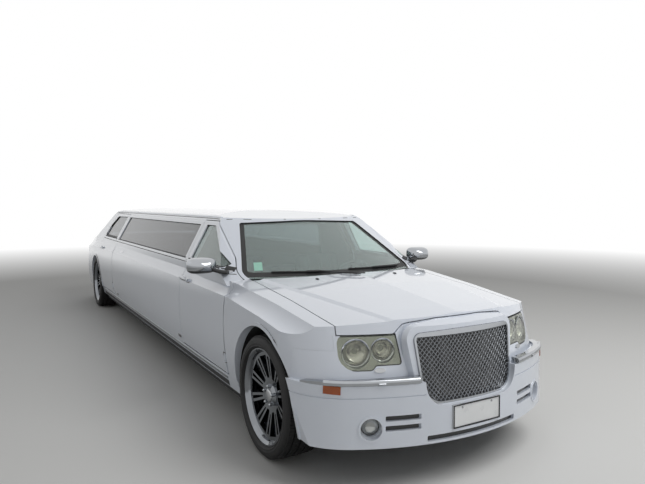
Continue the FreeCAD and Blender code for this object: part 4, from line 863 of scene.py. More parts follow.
STRIPS = (
    *(Strip(f"belt_moulding_{stretch}", body, View.SIDE, path, 0.011, 0.006, CHROME, panels,
            stations=stations)
      for stretch, body, path, panels, stations in BELT),
    # A thin dark strip just under each belt moulding: painted shade cast by the moulding.
    *(Strip(f"belt_gap_{stretch}", body, View.SIDE, tuple((x, z - BELT_SHADE_DROP) for x, z in path),
            0.0035, 0.0008, RUBBER_SEAL, panels, sides=4, stations=stations)
      for stretch, body, path, panels, stations in BELT),
    # A thin gloss black line under each door handle: painted shade under the handle.
    *(Strip(f"handle_gap_{door.removesuffix('_door')}", door, View.SIDE,
            ((x - HANDLE_SHADE_HALF, z - HANDLE_SHADE_DROP), (x + HANDLE_SHADE_HALF, z - HANDLE_SHADE_DROP)),
            0.006, 0.0008, GLOSS_BLACK, (f"{door}_left", f"{door}_right"), sides=6)
      for door, x, z in HANDLES),
    Strip("roof_joint", "chassis", View.SIDE, ((2.0, 1.411), (1.6, 1.419), (-2.3, 1.419), (-2.62, 1.407)),
          0.0035, 0.0010, RUBBER_SEAL, ("roof",), sides=4, stations=70),
    *(Strip(f"glass_seal_{stretch}", body, View.SIDE, path, 0.006, 0.005, RUBBER_SEAL, panels,
            stations=stations)
      for stretch, body, path, panels, stations in GLASS_SEALS),
    *(Strip(f"edge_seal_{edge}_{door}", door, View.SIDE, path, wide, 0.001, RUBBER_SEAL, panels, sides=4,
            lift=-0.008)
      for edge, door, path, wide, panels in EDGE_SEALS),
    Strip("mirror_foot", "front_door", View.SIDE, ((2.445, 1.036), (2.39, 1.052), (2.30, 1.072)),
          0.026, 0.006, BLACK_PLASTIC, (*FRONT_DOORS, "front_door_glass")),
    Strip("drip_rail", "chassis", View.SIDE, ((2.0, 1.425), (1.6, 1.432), (-2.3, 1.432), (-2.62, 1.42)),
          0.009, 0.008, LACQUER, ("roof",), stations=70),
    Strip("sill_strip", "chassis", View.SIDE, ((2.52, 0.326), (-2.4, 0.326)), 0.012, 0.005, CHROME,
          ("sills",), stations=60),
    Strip("sill_skirt", "chassis", View.SIDE, ((2.52, 0.283), (-2.4, 0.283)), 0.022, 0.004, BLACK_PLASTIC,
          ("sills",), stations=60),
    Strip("nose_bar", "chassis", View.FRONT, ((0.372, 0.604), (0.60, 0.604), (0.835, 0.604)), 0.0165, 0.010,
          CHROME, NOSE_PANELS, sides=20, stations=40),
    Strip("amber_marker", "chassis", View.FRONT, ((0.768, 0.566), (0.838, 0.570)), 0.0215, 0.004, AMBER_LENS,
          ("front_bumper",), sides=4, stations=12),
    Strip("nose_bar_nub", "chassis", View.FRONT, ((0.556, 0.600), (0.590, 0.600)), 0.009, 0.016, CHROME,
          NOSE_PANELS, sides=12, stations=6),
    Strip("boot_handle_strip", "boot_lid", View.REAR, ((-0.42, 0.86), (0.42, 0.86)), 0.011, 0.007, CHROME,
          ("boot_lid",), paired=False),
    Strip("bumper_rear_strip", "chassis", View.REAR, ((-0.80, 0.52), (0.80, 0.52)), 0.010, 0.005, CHROME,
          ("rear_bumper",), paired=False, stations=40),
)


@dataclass(frozen=True)
class Patch:
    """A small flat part let into the skin."""

    name: str
    body: str
    view: View
    outline: Path
    proud: float
    finish: Finish
    panels: tuple[str, ...]
    paired: bool = True


def box_outline(low: tuple[float, float], high: tuple[float, float]) -> Path:
    """Gives the corners of an upright rectangle.

    Args:
        low: Its lowest corner.
        high: Its highest corner.

    Returns:
        Its four corners in turn.
    """
    return (low, (high[0], low[1]), high, (low[0], high[1]))


CAP_OUTLINE = tuple((0.532 + 0.030 * math.cos(t * math.pi / 8), 0.645 + 0.012 * math.sin(t * math.pi / 8))
                    for t in range(16))
PAPER_OUTLINE = ((-0.655, 1.050), (-0.597, 1.052), (-0.570, 1.104), (-0.628, 1.102))
PATCHES = (
    Patch("washer_cap", "chassis", View.FRONT, CAP_OUTLINE, 0.006, SATIN_ALLOY, ("front_bumper",)),
    Patch("side_marker_front", "chassis", View.SIDE, box_outline((1.36, 0.392), (1.43, 0.414)), 0.004,
          MARKER_LENS, ("centre_side",)),
    Patch("side_marker_rear", "chassis", View.SIDE, box_outline((-1.43, 0.378), (-1.36, 0.400)), 0.004,
          MARKER_LENS, ("centre_side",)),
    Patch("screen_paper", "chassis", View.FRONT, PAPER_OUTLINE, 0.0008, DECAL, ("windscreen",), paired=False),
    Patch("rear_plate", "boot_lid", View.REAR, box_outline((-0.152, 0.70), (0.152, 0.82)), 0.004, PLATE_WHITE,
          ("boot_lid",), paired=False),
    Patch("reflector_rear", "chassis", View.REAR, box_outline((0.62, 0.36), (0.78, 0.395)), 0.003, RED_LENS,
          ("rear_bumper",)),
)


@dataclass
class Trim(Builder):
    """Mouldings, seals, markers and other parts that lie on the panels."""

    fewest_hits: int = 3
    patch_root: float = 0.003
    lens_border: float = 0.0045
    front_glass_border: float = 0.012
    rear_glass_border: float = 0.02
    border_lift: float = 0.0006
    sight_height: float = 0.7
    sight_span: tuple[float, float] = (-1.8, 1.2)
    windscreen_bands: tuple[float, float, float] = (0.042, 0.016, 0.050)
    rear_window_bands: tuple[float, float, float] = (0.036, 0.020, 0.030)
    band_high: float = 0.0008
    band_gaps: int = 40

    def lay_strip(self, strip: Strip, side: Side) -> None:
        """Lays one moulding on one side of the car.

        Args:
            strip: The moulding.
            side: Side of the car.
        """
        sign = side.value
        flip = sign if strip.paired and strip.view is not View.SIDE else 1
        points = [(a * flip, b) for a, b in stations_along(strip.path, strip.stations)]
        hits = Skin(self.nodes, strip.panels).along(strip.view, points, sign)
        if len(hits) < self.fewest_hits:
            LOG.warning("%s found no skin", strip.name)
            return
        body = f"{strip.body}_{side.label}" if strip.body.endswith("door") else strip.body
        name = f"{strip.name}_{side.label}" if strip.paired else strip.name
        frames = frames_along(hits, strip.wide, strip.high, strip.lift)
        self.bar(name, frames, strip.sides, strip.finish, body)

    def lay_patch(self, patch: Patch, side: Side) -> None:
        """Lays one small part on one side of the car.

        Args:
            patch: The small part.
            side: Side of the car.
        """
        skin = Skin(self.nodes, patch.panels)
        sign = side.value
        mesh = bmesh.new()
        corners = []
        drop = Vector()
        for a, b in patch.outline:
            a = a * sign if patch.view is not View.SIDE and patch.paired else a
            hit = skin.at(patch.view, a, b, sign)
            if hit is None:
                LOG.warning("%s found no skin", patch.name)
                mesh.free()
                return
            corners.append(mesh.verts.new(hit[0] + hit[1] * patch.proud))
            drop -= hit[1] / len(patch.outline)
        face = bmesh.ops.contextual_create(mesh, geom=corners)["faces"]
        walls = bmesh.ops.extrude_face_region(mesh, geom=face, use_keep_orig=True)
        moved = [v for v in walls["geom"] if isinstance(v, bmesh.types.BMVert)]
        bmesh.ops.translate(mesh, verts=moved, vec=drop * (patch.proud + self.patch_root))
        bmesh.ops.recalc_face_normals(mesh, faces=mesh.faces)
        self.add(f"{patch.name}_{side.label}" if patch.paired else patch.name, mesh, patch.finish, patch.body)

    def border(self, node: str, width: float, body: str) -> None:
        """Prints a black border round a pane, just off its outer face.

        Args:
            node: The pane.
            width: How far the border reaches in from the pane's edge.
            body: Body that carries the pane.
        """
        mesh = bmesh.new()
        mesh.from_mesh(self.nodes[node].data)
        bmesh.ops.remove_doubles(mesh, verts=mesh.verts, dist=1e-5)
        mesh.normal_update()
        low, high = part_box(node)
        middle = (Vector(low) + Vector(high)) / 2
        middle.y = 0.0
        middle.z = self.sight_height
        middle.x = max(min(middle.x, self.sight_span[1]), self.sight_span[0])
        faces = [f for f in mesh.faces if f.normal.dot(f.calc_center_median() - middle) < 0.25
                 or f.calc_area() < 1e-9]
        bmesh.ops.delete(mesh, geom=faces, context="FACES")
        bmesh.ops.dissolve_limit(mesh, angle_limit=math.radians(0.6), verts=mesh.verts, edges=mesh.edges)
        ring = bmesh.ops.inset_region(mesh, faces=mesh.faces, thickness=width, use_boundary=True,
                                      use_even_offset=True)["faces"]
        keep = set(ring)
        bmesh.ops.delete(mesh, geom=[f for f in mesh.faces if f not in keep], context="FACES")
        for v in mesh.verts:
            v.co += v.normal * self.border_lift
        self.add(f"{node}_border", mesh, FRIT, body, 60)

    def screen_bands(self, node: str, view: View, widths: tuple[float, float, float]) -> None:
        """Lays flat black bands along the four edges of a screen.

        Args:
            node: The screen.
            view: The side it is seen from.
            widths: Widths of the pillar, header and foot bands.
        """
        skin = Skin(self.nodes, (node,))
        low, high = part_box(node)
        middle = (low[2] + high[2]) / 2
        pillar, header, foot = widths
        inset = 0.03
        top = skin.edge(view, (0.0, high[2] - inset), (1.0, high[2] - inset))[0]
        base = skin.edge(view, (0.0, low[2] + inset), (1.0, low[2] + inset))[0]
        shares = [k / self.band_gaps for k in range(self.band_gaps + 1)]
        past = 0.05
        # name, points on the pane's edge, width, way in from the edge, lift
        rows = []
        for label, half, near, far, beyond, wide, way in (
            ("header", top, 0.99, 0.99, high[2] + past, header, -1),
            ("foot", base, 0.97, 0.99, low[2] - past, foot, 1),
        ):
            points = [skin.edge(view, (half * (2 * k - 1) * near, middle), (half * (2 * k - 1) * far, beyond))
                      for k in shares]
            rows.append((label, points, wide, (0, way), 0.0006))
        heights = [low[2] + 0.012 + (high[2] - low[2] - 0.034) * k for k in shares]
        for side in Side:
            points = [skin.edge(view, (0.0, z), (side.value * 1.0, z)) for z in heights]
            rows.append((f"pillar_{side.label}", points, pillar, (-side.value, 0), 0.0010))
        for label, points, wide, inward, lift in rows:
            hits = skin.along(view, [(a + inward[0] * wide / 2, b + inward[1] * wide / 2) for a, b in points])
            frames = frames_along(hits, wide / 2, self.band_high, lift)
            self.bar(f"{node}_band_{label}", frames, 4, FRIT, "chassis", 60)

    def build(self) -> None:
        """Lays every moulding, patch and border."""
        for strip in STRIPS:
            for side in Side if strip.paired else (Side.LEFT,):
                self.lay_strip(strip, side)
        for patch in PATCHES:
            for side in Side if patch.paired else (Side.LEFT,):
                self.lay_patch(patch, side)
        self.border("headlamp_lenses", self.lens_border, "chassis")
        self.screen_bands("windscreen", View.FRONT, self.windscreen_bands)
        self.screen_bands("rear_window", View.REAR, self.rear_window_bands)
        for side in Side:
            for door, width in (("front_door", self.front_glass_border),
                                ("rear_door", self.rear_glass_border)):
                self.border(f"{door}_glass_{side.label}", width, f"{door}_{side.label}")


AXLES = {"front": 3.148, "rear": -2.948}
AXLE_HEIGHT = 0.372
HALF_TRACK = 0.8


@dataclass
class Wheels(Builder):
    """Tyres with their tread, wheel nuts, caps, brake calipers and arch liners."""

    arches: dict[str, float] = field(default_factory=lambda: {"front": 0.430, "rear": 0.397})
    steps: int = 112
    block_depth: float = 0.006
    block_inset: float = 0.0016
    block_radius: float = 0.352
    groove_depth: float = 0.004
    tread_half: float = 0.112
    tread_fall: float = 0.005
    # start and end of each rib, across the tyre
    ribs: Path = ((0.112, 0.079), (0.070, 0.029), (0.020, -0.020), (-0.029, -0.070), (-0.079, -0.112))
    # radius and height of the side wall, from the bead out to the shoulder
    wall: Path = ((0.2798, 0.1044), (0.2913, 0.1114), (0.2985, 0.1225), (0.3030, 0.1300), (0.3060, 0.1322),
                  (0.3090, 0.1304), (0.3200, 0.1312), (0.3220, 0.1322), (0.3240, 0.1312), (0.3360, 0.1313),
                  (0.3500, 0.1268), (0.3570, 0.1205))
    # radius and height of the hub's cap
    cap: Path = ((0.0, 0.084), (0.030, 0.0835), (0.037, 0.080), (0.040, 0.074), (0.040, 0.070), (0.0, 0.070))
    nuts: int = 5
    nut_circle: float = 0.058
    nut_height: float = 0.072
    liner_thick: float = 0.003
    liner_span: tuple[float, float] = (0.655, 0.895)
    caliper_radius: float = 0.142
    caliper_depth: float = -0.098

    def tread_radius(self, across: float) -> float:
        """Gives the radius of the tread's surface.

        Args:
            across: Distance from the middle of the tyre.

        Returns:
            The radius there.
        """
        return AXLE_HEIGHT - 0.0003 - self.tread_fall * (across / self.tread_half) ** 2

    def tyre(self, name: str, place: Matrix, body: str) -> None:
        """Turns the carcass and raises the tread blocks off it.

        Args:
            name: The node that it stands for.
            place: Matrix of the wheel.
            body: Body that carries it.
        """
        profile = list(self.wall)
        for start, end in self.ribs:
            root = self.tread_radius(end) - self.block_depth
            profile.append((self.tread_radius(start) - self.block_depth, start))
            profile.append((root, end))
            if end > -0.1:
                profile += [(root - self.groove_depth, end - 0.001), (root - self.groove_depth, end - 0.008)]
        profile += [(r, -w) for r, w in reversed(self.wall)]
        mesh = bmesh.new()
        spin_profile(mesh, profile, self.steps, True)
        spans = [tuple(sorted(r)) for r in self.ribs]
        blocks = []
        for face in mesh.faces:
            heights = sorted(v.co.z for v in face.verts)
            on_rib = any(abs(heights[0] - a) < 1e-4 and abs(heights[-1] - b) < 1e-4 for a, b in spans)
            if face.calc_center_median().xy.length > self.block_radius and on_rib:
                blocks.append(face)
        bmesh.ops.inset_individual(mesh, faces=blocks, thickness=self.block_inset, depth=self.block_depth,
                                   use_even_offset=True)
        piece = self.finish_on(mesh, f"{name}_tread", place, TYRE_RUBBER, body)
        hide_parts(name)

    def finish_on(self, mesh: bmesh.types.BMesh, name: str, place: Matrix, finish: Finish,
                  body: str) -> bpy.types.Object:
        """Moves a wheel's part to its place and finishes it.

        Args:
            mesh: The part, made at the origin.
            name: Its name.
            place: Matrix of the wheel.
            finish: Its finish.
            body: Body that carries it.

        Returns:
            The finished piece.
        """
        bmesh.ops.transform(mesh, matrix=place, verts=mesh.verts)
        return self.add(name, mesh, finish, body)

    def hardware(self, name: str, place: Matrix, body: str) -> None:
        """Makes the cap and the nuts on the wheel's face.

        Args:
            name: Start of the pieces' names.
            place: Matrix of the wheel.
            body: Body that carries them.
        """
        self.turned(f"{name}_cap", list(self.cap), 40, False, place, SATIN_ALLOY, body)
        mesh = bmesh.new()
        for index in range(self.nuts):
            turn = Matrix.Rotation(index * 2 * math.pi / self.nuts + 0.3, 4, "Z")
            turn = turn @ Matrix.Translation((self.nut_circle, 0, self.nut_height))
            bmesh.ops.create_cone(mesh, cap_ends=True, segments=6, radius1=0.0105, radius2=0.0105,
                                  depth=0.028, matrix=turn)
            tip = turn @ Matrix.Translation((0, 0, 0.017))
            bmesh.ops.create_cone(mesh, cap_ends=True, segments=16, radius1=0.0085, radius2=0.003,
                                  depth=0.008, matrix=tip)
        self.finish_on(mesh, f"{name}_nuts", place, CHROME, body)

    def caliper(self, name: str, place: Matrix, body: str) -> None:
        """Makes the brake caliper over the disc's rear edge.

        Args:
            name: Its name.
            place: Matrix of the wheel.
            body: Body that carries it.
        """
        frames = []
        for step in range(9):
            angle = math.radians(-28 + 7 * step)
            out = Vector((-math.cos(angle), math.sin(angle), 0))
            along = Vector((math.sin(angle), math.cos(angle), 0))
            spot = out * self.caliper_radius + Vector((0, 0, self.caliper_depth))
            frames.append(section_frame(spot, out, along, 0.034, 0.022))
        mesh = bmesh.new()
        sweep(mesh, frames, 12)
        self.finish_on(mesh, name, place, CAST_IRON, body)

    def arch_liner(self, name: str, x: float, side: Side, radius: float) -> None:
        """Makes the felt liner inside a wheel arch.

        Args:
            name: Its name.
            x: Place of the axle along the car.
            side: Side of the car.
            radius: Radius of the arch.
        """
        mesh = bmesh.new()
        high = radius - 0.001
        low = high - self.liner_thick
        near, far = self.liner_span
        corners = [(low, near), (low, far), (high, far), (high, near)]
        points = [mesh.verts.new((r, side.value * y, 0)) for r, y in corners]
        face = bmesh.ops.contextual_create(mesh, geom=points)["faces"]
        bmesh.ops.rotate(mesh, verts=mesh.verts, cent=(0, 0, 0),
                         matrix=Matrix.Rotation(math.radians(8), 3, "Y"))
        bmesh.ops.spin(mesh, geom=face, cent=(0, 0, 0), axis=(0, 1, 0), angle=math.radians(-196), steps=48)
        bmesh.ops.translate(mesh, vec=(x, 0, AXLE_HEIGHT), verts=mesh.verts)
        bmesh.ops.recalc_face_normals(mesh, faces=mesh.faces)
        self.add(name, mesh, FELT, "chassis")

    def build(self) -> None:
        """Fits all four wheels out."""
        for axle, x in AXLES.items():
            for side in Side:
                turn = Matrix.Rotation(math.radians(-90 * side.value), 4, "X")
                place = Matrix.Translation((x, side.value * HALF_TRACK, AXLE_HEIGHT)) @ turn
                label = f"{axle}_{side.label}"
                body = f"wheel_{label}"
                self.tyre(f"tyre_{label}", place, body)
                self.hardware(f"wheel_{label}", place, body)
                carrier = f"knuckle_{side.label}" if axle == "front" else "chassis"
                self.caliper(f"caliper_{label}", place, carrier)
                self.arch_liner(f"arch_liner_{label}", x, side, self.arches[axle])


@dataclass
class Nose(Builder):
    """Woven grille, lamps, ducts and plate frame."""

    reach: float = 4.001
    foot: float = 0.44
    lean: float = 0.12
    radius: float = 1.5
    bumper_reach: float = 4.028
    # corners of the grille's opening, in y and z
    window: Path = ((-0.357, 0.822), (-0.355, 0.780), (-0.333, 0.570), (-0.318, 0.522), (-0.285, 0.482),
                    (-0.235, 0.460), (0.235, 0.460), (0.285, 0.482), (0.318, 0.522), (0.333, 0.570),
                    (0.355, 0.780), (0.357, 0.822))
    pitch: float = 0.0268
    wire: float = 0.0024
    weave_height: float = 0.643
    weave_rise: float = 0.36
    weave_slope: float = 0.92
    weave_back: float = 0.016
    weave_wave: float = 0.0019
    weave_rows: int = 28
    baffle_back: float = 0.036
    baffle_thick: float = 0.004
    duct_back: float = 0.022
    lamp_reach: float = 3.947 - 0.007
    lamp_lean: float = 0.27
    lamp_foot: float = 0.59
    # name, y, z, radius of each headlamp's bowl
    bowls: tuple[tuple[str, float, float, float], ...] = (("outer", 0.640, 0.736, 0.080),
                                                          ("inner", 0.500, 0.748, 0.068))
    projector: Path = ((0.0, -0.016), (0.011, -0.0175), (0.021, -0.022), (0.028, -0.029), (0.030, -0.036),
                       (0.030, -0.044), (0.0, -0.044))
    fog_place: tuple[float, float] = (0.627, 0.360)
    fog_lens: Path = ((0.0, -0.040), (0.030, -0.041), (0.050, -0.045), (0.055, -0.049), (0.055, -0.052),
                      (0.0, -0.050))
    frame_wide: float = 0.009
    frame_thick: float = 0.003

    def face(self, y: float, z: float, back: float) -> Vector:
        """Finds a point of the grille's curved face.

        Args:
            y: Distance from the middle of the car.
            z: Height.
            back: How far it is set back along the car.

        Returns:
            The point.
        """
        bulge = math.sqrt(self.radius**2 - y * y)
        x = self.reach - self.radius + bulge - self.lean * (z - self.foot) - back
        return Vector((x, y, z))

    def inside(self, y: float, z: float) -> bool:
        """Tells whether a point of the face lies in the grille's window.

        Args:
            y: Distance from the middle of the car.
            z: Height.

        Returns:
            True inside the window.
        """
        found = False
        corners = self.window
        for (y0, z0), (y1, z1) in zip(corners, corners[1:] + corners[:1]):
            if (z0 > z) != (z1 > z) and y < (y1 - y0) * (z - z0) / (z1 - z0) + y0:
                found = not found
        return found

    def weave(self) -> None:
        """Weaves two families of slanting wires over and under each other."""
        mesh = bmesh.new()
        step = self.pitch / 2
        count = int(2 * self.weave_rise / step) + 1
        for slant in (1, -1):
            for index in range(-self.weave_rows, self.weave_rows + 1):
                run = []
                for k in range(-count, count + 1):
                    z = self.weave_height + k * step / 2
                    y = index * self.pitch + slant * (z - self.weave_height) * self.weave_slope
                    if self.inside(y, z):
                        wave = math.cos(math.pi * (k / 2 + index)) * slant
                        place = self.face(y, z, self.weave_back - self.weave_wave * wave)
                        run.append((place, Vector((1, 0, 0))))
                if len(run) >= 4:
                    sweep(mesh, frames_along(run, self.wire, self.wire * 0.8), 6)
        piece = self.add("grille_weave", mesh, WIRE_CHROME, "chassis", 60)
        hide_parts("grille_mesh")

    def backing(self) -> None:
        """Makes the dark baffle behind the grille."""
        mesh = bmesh.new()
        corners = [mesh.verts.new(self.face(y, z, self.baffle_back)) for y, z in self.window]
        face = bmesh.ops.contextual_create(mesh, geom=corners)["faces"]
        moved = bmesh.ops.extrude_face_region(mesh, geom=face, use_keep_orig=True)["geom"]
        moved = [v for v in moved if isinstance(v, bmesh.types.BMVert)]
        bmesh.ops.translate(mesh, verts=moved, vec=(-self.baffle_thick, 0, 0))
        bmesh.ops.recalc_face_normals(mesh, faces=mesh.faces)
        self.add("grille_baffle", mesh, GLOSS_BLACK, "chassis")

    def duct_baffles(self) -> None:
        """Makes the black ducts behind the bumper's vents and its low slot."""
        for label, start, end, z, wide in (("vent_left", 0.350, 0.572, 0.385, 0.058),
                                           ("vent_right", -0.572, -0.350, 0.385, 0.058),
                                           ("low_slot", -0.340, 0.340, 0.284, 0.024)):
            frames = []
            for step in range(17):
                y = start + (end - start) * step / 16
                out = Vector((math.sqrt(self.radius**2 - y * y), y, 0)).normalized()
                place = Vector((self.bumper_reach - self.radius, 0, z)) + out * (self.radius - self.duct_back)
                frames.append(section_frame(place, out, Vector((-out.y, out.x, 0)), wide, 0.001))
            self.bar(f"{label}_duct", frames, 4, GLOSS_BLACK, "chassis")

    def lamp_axis(self, y: float, z: float, reach: float, lean: float = 0.0, foot: float = 0.0) -> Matrix:
        """Places a lamp on the nose.

        Args:
            y: Distance from the middle of the car.
            z: Height.
            reach: How far forward the nose comes at its foot.
            lean: How far it leans back for each unit of height.
            foot: Height from which it leans.

        Returns:
            Matrix at the nose's face whose Z axis points out of it.
        """
        turn = math.asin(y / self.radius)
        out = Vector((math.cos(turn), math.sin(turn), 0))
        place = Vector((reach - self.radius - lean * (z - foot), 0, z)) + out * self.radius
        return Matrix.Translation(place) @ out.to_track_quat("Z", "Y").to_matrix().to_4x4()

    def lamps(self) -> None:
        """Makes the headlamps' rings, reflectors and projector lenses, and the fog lamps' lenses."""
        for side in Side:
            for label, y, z, size in self.bowls:
                frame = self.lamp_axis(side.value * y, z, self.lamp_reach, self.lamp_lean, self.lamp_foot)
                end = f"{label}_{side.label}"
                ring = [(size - 0.001, -0.001), (size - 0.004, -0.0005), (size - 0.010, -0.004),
                        (size - 0.012, -0.012), (size - 0.009, -0.012), (size - 0.001, -0.004)]
                self.turned(f"headlamp_ring_{end}", ring, 64, True, frame, CHROME)
                bowl = [(0.012, -0.046), (size * 0.32, -0.0455), (size * 0.55, -0.040), (size * 0.72, -0.030),
                        (size * 0.84, -0.016), (size * 0.87, -0.010)]
                bowl += [(r + 0.0015, h - 0.0015) for r, h in reversed(bowl)]
                self.turned(f"headlamp_reflector_{end}", bowl, 64, True, frame, REFLECTOR)
                self.turned(f"headlamp_projector_{end}", list(self.projector), 48, False, frame, CLEAR_LENS)
            y, z = self.fog_place
            frame = self.lamp_axis(side.value * y, z, self.bumper_reach)
            self.turned(f"fog_lens_{side.label}", list(self.fog_lens), 56, False, frame, CLEAR_LENS)

    def plate_frame(self) -> None:
        """Makes the black frame round the blank plate, and its two screws."""
        low, high = (Vector(corner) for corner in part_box("number_plate"))
        upright = Matrix.Rotation(math.pi / 2, 4, "Y")
        mesh = bmesh.new()
        bmesh.ops.create_grid(mesh, x_segments=1, y_segments=1, size=0.5)
        middle = (low + high) / 2
        turn = Matrix.Translation((high.x + 0.0005, middle.y, middle.z)) @ upright
        size = Matrix.Diagonal((high.z - low.z, high.y - low.y, 1, 1))
        bmesh.ops.transform(mesh, matrix=turn @ size, verts=mesh.verts)
        ring = bmesh.ops.inset_region(mesh, faces=mesh.faces, thickness=self.frame_wide,
                                      use_boundary=True)["faces"]
        bmesh.ops.delete(mesh, geom=[f for f in mesh.faces if f not in ring], context="FACES")
        bmesh.ops.solidify(mesh, geom=mesh.faces, thickness=-self.frame_thick)
        bmesh.ops.recalc_face_normals(mesh, faces=mesh.faces)
        self.add("plate_frame", mesh, BLACK_PLASTIC, "chassis")
        mesh = bmesh.new()
        for sign in (1, -1):
            spot = Matrix.Translation((high.x, middle.y + sign * 0.11, high.z - 0.02)) @ upright
            bmesh.ops.create_cone(mesh, cap_ends=True, segments=20, radius1=0.007, radius2=0.005, depth=0.005,
                                  matrix=spot)
        self.add("plate_screws", mesh, CHROME, "chassis")

    def build(self) -> None:
        """Builds everything on the nose."""
        self.weave()
        self.backing()
        self.duct_baffles()
        self.lamps()
        self.plate_frame()


@dataclass(frozen=True)
class Pad:
    """A cushion: its middle, size, lean about Y or X, and the sewn channels across it."""

    name: str
    middle: tuple[float, float, float]
    size: tuple[float, float, float]
    lean_deg: float
    about: str
    channels: tuple[float, ...]
    run: int


@dataclass
class Upholstery(Builder):
    """Seats: simulated leather cushions on plain plinths."""

    voxel: float = 0.012
    shrink: float = 0.022
    cap: float = 0.02
    pressure: float = 4.0
    stiffness: float = 8.0
    last_frame: int = 20
    seam_half: float = 0.006
    seam_wide: float = 0.009
    seam_depth: float = 0.007
    grown: dict[tuple[float, ...], bpy.types.Mesh] = field(default_factory=dict)

    def blank(self, pad: Pad) -> bpy.types.Mesh:
        """Makes a rounded block a little smaller than the cushion, remeshed evenly.

        Args:
            pad: The cushion.

        Returns:
            The block's mesh.
        """
        mesh = bmesh.new()
        bmesh.ops.create_cube(mesh, size=1.0)
        bmesh.ops.scale(mesh, vec=[s - self.shrink for s in pad.size], verts=mesh.verts)
        bmesh.ops.bevel(mesh, geom=mesh.edges[:], offset=min(pad.size) * 0.3, offset_type="OFFSET",
                        segments=4, profile=0.5, affect="EDGES", material=-1)
        data = bpy.data.meshes.new("blank")
        mesh.to_mesh(data)
        mesh.free()
        holder = bpy.data.objects.new("blank", data)
        bpy.context.collection.objects.link(holder)
        remesh = holder.modifiers.new("even", "REMESH")
        remesh.mode = "VOXEL"
        remesh.voxel_size = self.voxel
        result = self.baked(holder)
        bpy.data.objects.remove(holder)
        return result

    @staticmethod
    def baked(holder: bpy.types.Object) -> bpy.types.Mesh:
        """Gives the mesh of an object with its modifiers applied.

        Args:
            holder: The object.

        Returns:
            A new mesh.
        """
        graph = bpy.context.evaluated_depsgraph_get()
        return bpy.data.meshes.new_from_object(holder.evaluated_get(graph))

    def swollen(self, pad: Pad) -> bpy.types.Mesh:
        """Blows the blank up as a sewn leather case under its foam's pressure.

        Args:
            pad: The cushion.

        Returns:
            The swollen mesh, grown once for each size.
        """
        if pad.size in self.grown:
            return self.grown[pad.size].copy()
        start = self.blank(pad)
        holder = bpy.data.objects.new("case", start)
        bpy.context.collection.objects.link(holder)
        half = (pad.size[2] - self.shrink) / 2
        pins = holder.vertex_groups.new(name="base")
        seams = [v.index for v in start.vertices if v.co.z < -half + 0.003 or self.on_seam(v.co, pad)]
        pins.add(seams, 1.0, "REPLACE")
        cloth = holder.modifiers.new("case", "CLOTH")
        cloth.settings.use_pressure = True
        cloth.settings.uniform_pressure_force = self.pressure
        cloth.settings.effector_weights.gravity = 0.0
        cloth.settings.vertex_group_mass = "base"
        cloth.settings.tension_stiffness = self.stiffness
        cloth.settings.compression_stiffness = self.stiffness
        cloth.point_cache.frame_end = self.last_frame
        scene = bpy.context.scene
        for frame_number in range(1, self.last_frame + 1):
            scene.frame_set(frame_number)
        done = self.baked(holder)
        scene.frame_set(1)
        for before, after in zip(start.vertices, done.vertices):
            move = after.co - before.co
            if move.length > self.cap:
                move *= self.cap / move.length
            after.co = before.co + move
        bpy.data.objects.remove(holder)
        start = done
        self.grown[pad.size] = start
        return start.copy()

    def on_seam(self, place: Vector, pad: Pad) -> bool:
        """Tells whether a point lies in one of the cushion's sewn channels on top.

        Args:
            place: The point, with the cushion's middle at the origin.
            pad: The cushion.

        Returns:
            True in a channel.
        """
        measure = place[pad.run]
        return place.z > 0 and any(abs(measure - c) < self.seam_half for c in pad.channels)

    def cushion(self, pad: Pad) -> bpy.types.Object:
        """Finishes one cushion: channels sewn in, subdivided once, laid in place.

        Args:
            pad: The cushion.

        Returns:
            The finished piece.
        """
        data = self.swollen(pad)
        mesh = bmesh.new()
        mesh.from_mesh(data)
        for vert in mesh.verts:
            if vert.co.z > 0:
                depth = sum(math.exp(-((vert.co[pad.run] - c) / self.seam_wide) ** 2) for c in pad.channels)
                vert.co.z -= self.seam_depth * depth
        bmesh.ops.subdivide_edges(mesh, edges=mesh.edges, cuts=1, smooth=1.0, use_grid_fill=True)
        turn = Matrix.Rotation(math.radians(pad.lean_deg), 4, pad.about)
        bmesh.ops.transform(mesh, verts=mesh.verts, matrix=Matrix.Translation(pad.middle) @ turn)
        piece = self.add(pad.name, mesh, LEATHER, "chassis", 80)
        return piece

    def plinth(self, name: str, low: tuple[float, float, float], high: tuple[float, float, float]) -> None:
        """Makes the trimmed base under a row of cushions.

        Args:
            name: Its name.
            low: Its lowest corner.
            high: Its highest corner.
        """
        mesh = bmesh.new()
        bmesh.ops.create_cube(mesh, size=1.0)
        span = [b - a for a, b in zip(low, high)]
        bmesh.ops.scale(mesh, vec=span, verts=mesh.verts)
        bmesh.ops.translate(mesh, vec=[(a + b) / 2 for a, b in zip(low, high)], verts=mesh.verts)
        bmesh.ops.bevel(mesh, geom=mesh.edges[:], offset=0.02, offset_type="OFFSET", segments=3, profile=0.5,
                        affect="EDGES", material=-1)
        self.add(name, mesh, CARPET, "chassis")

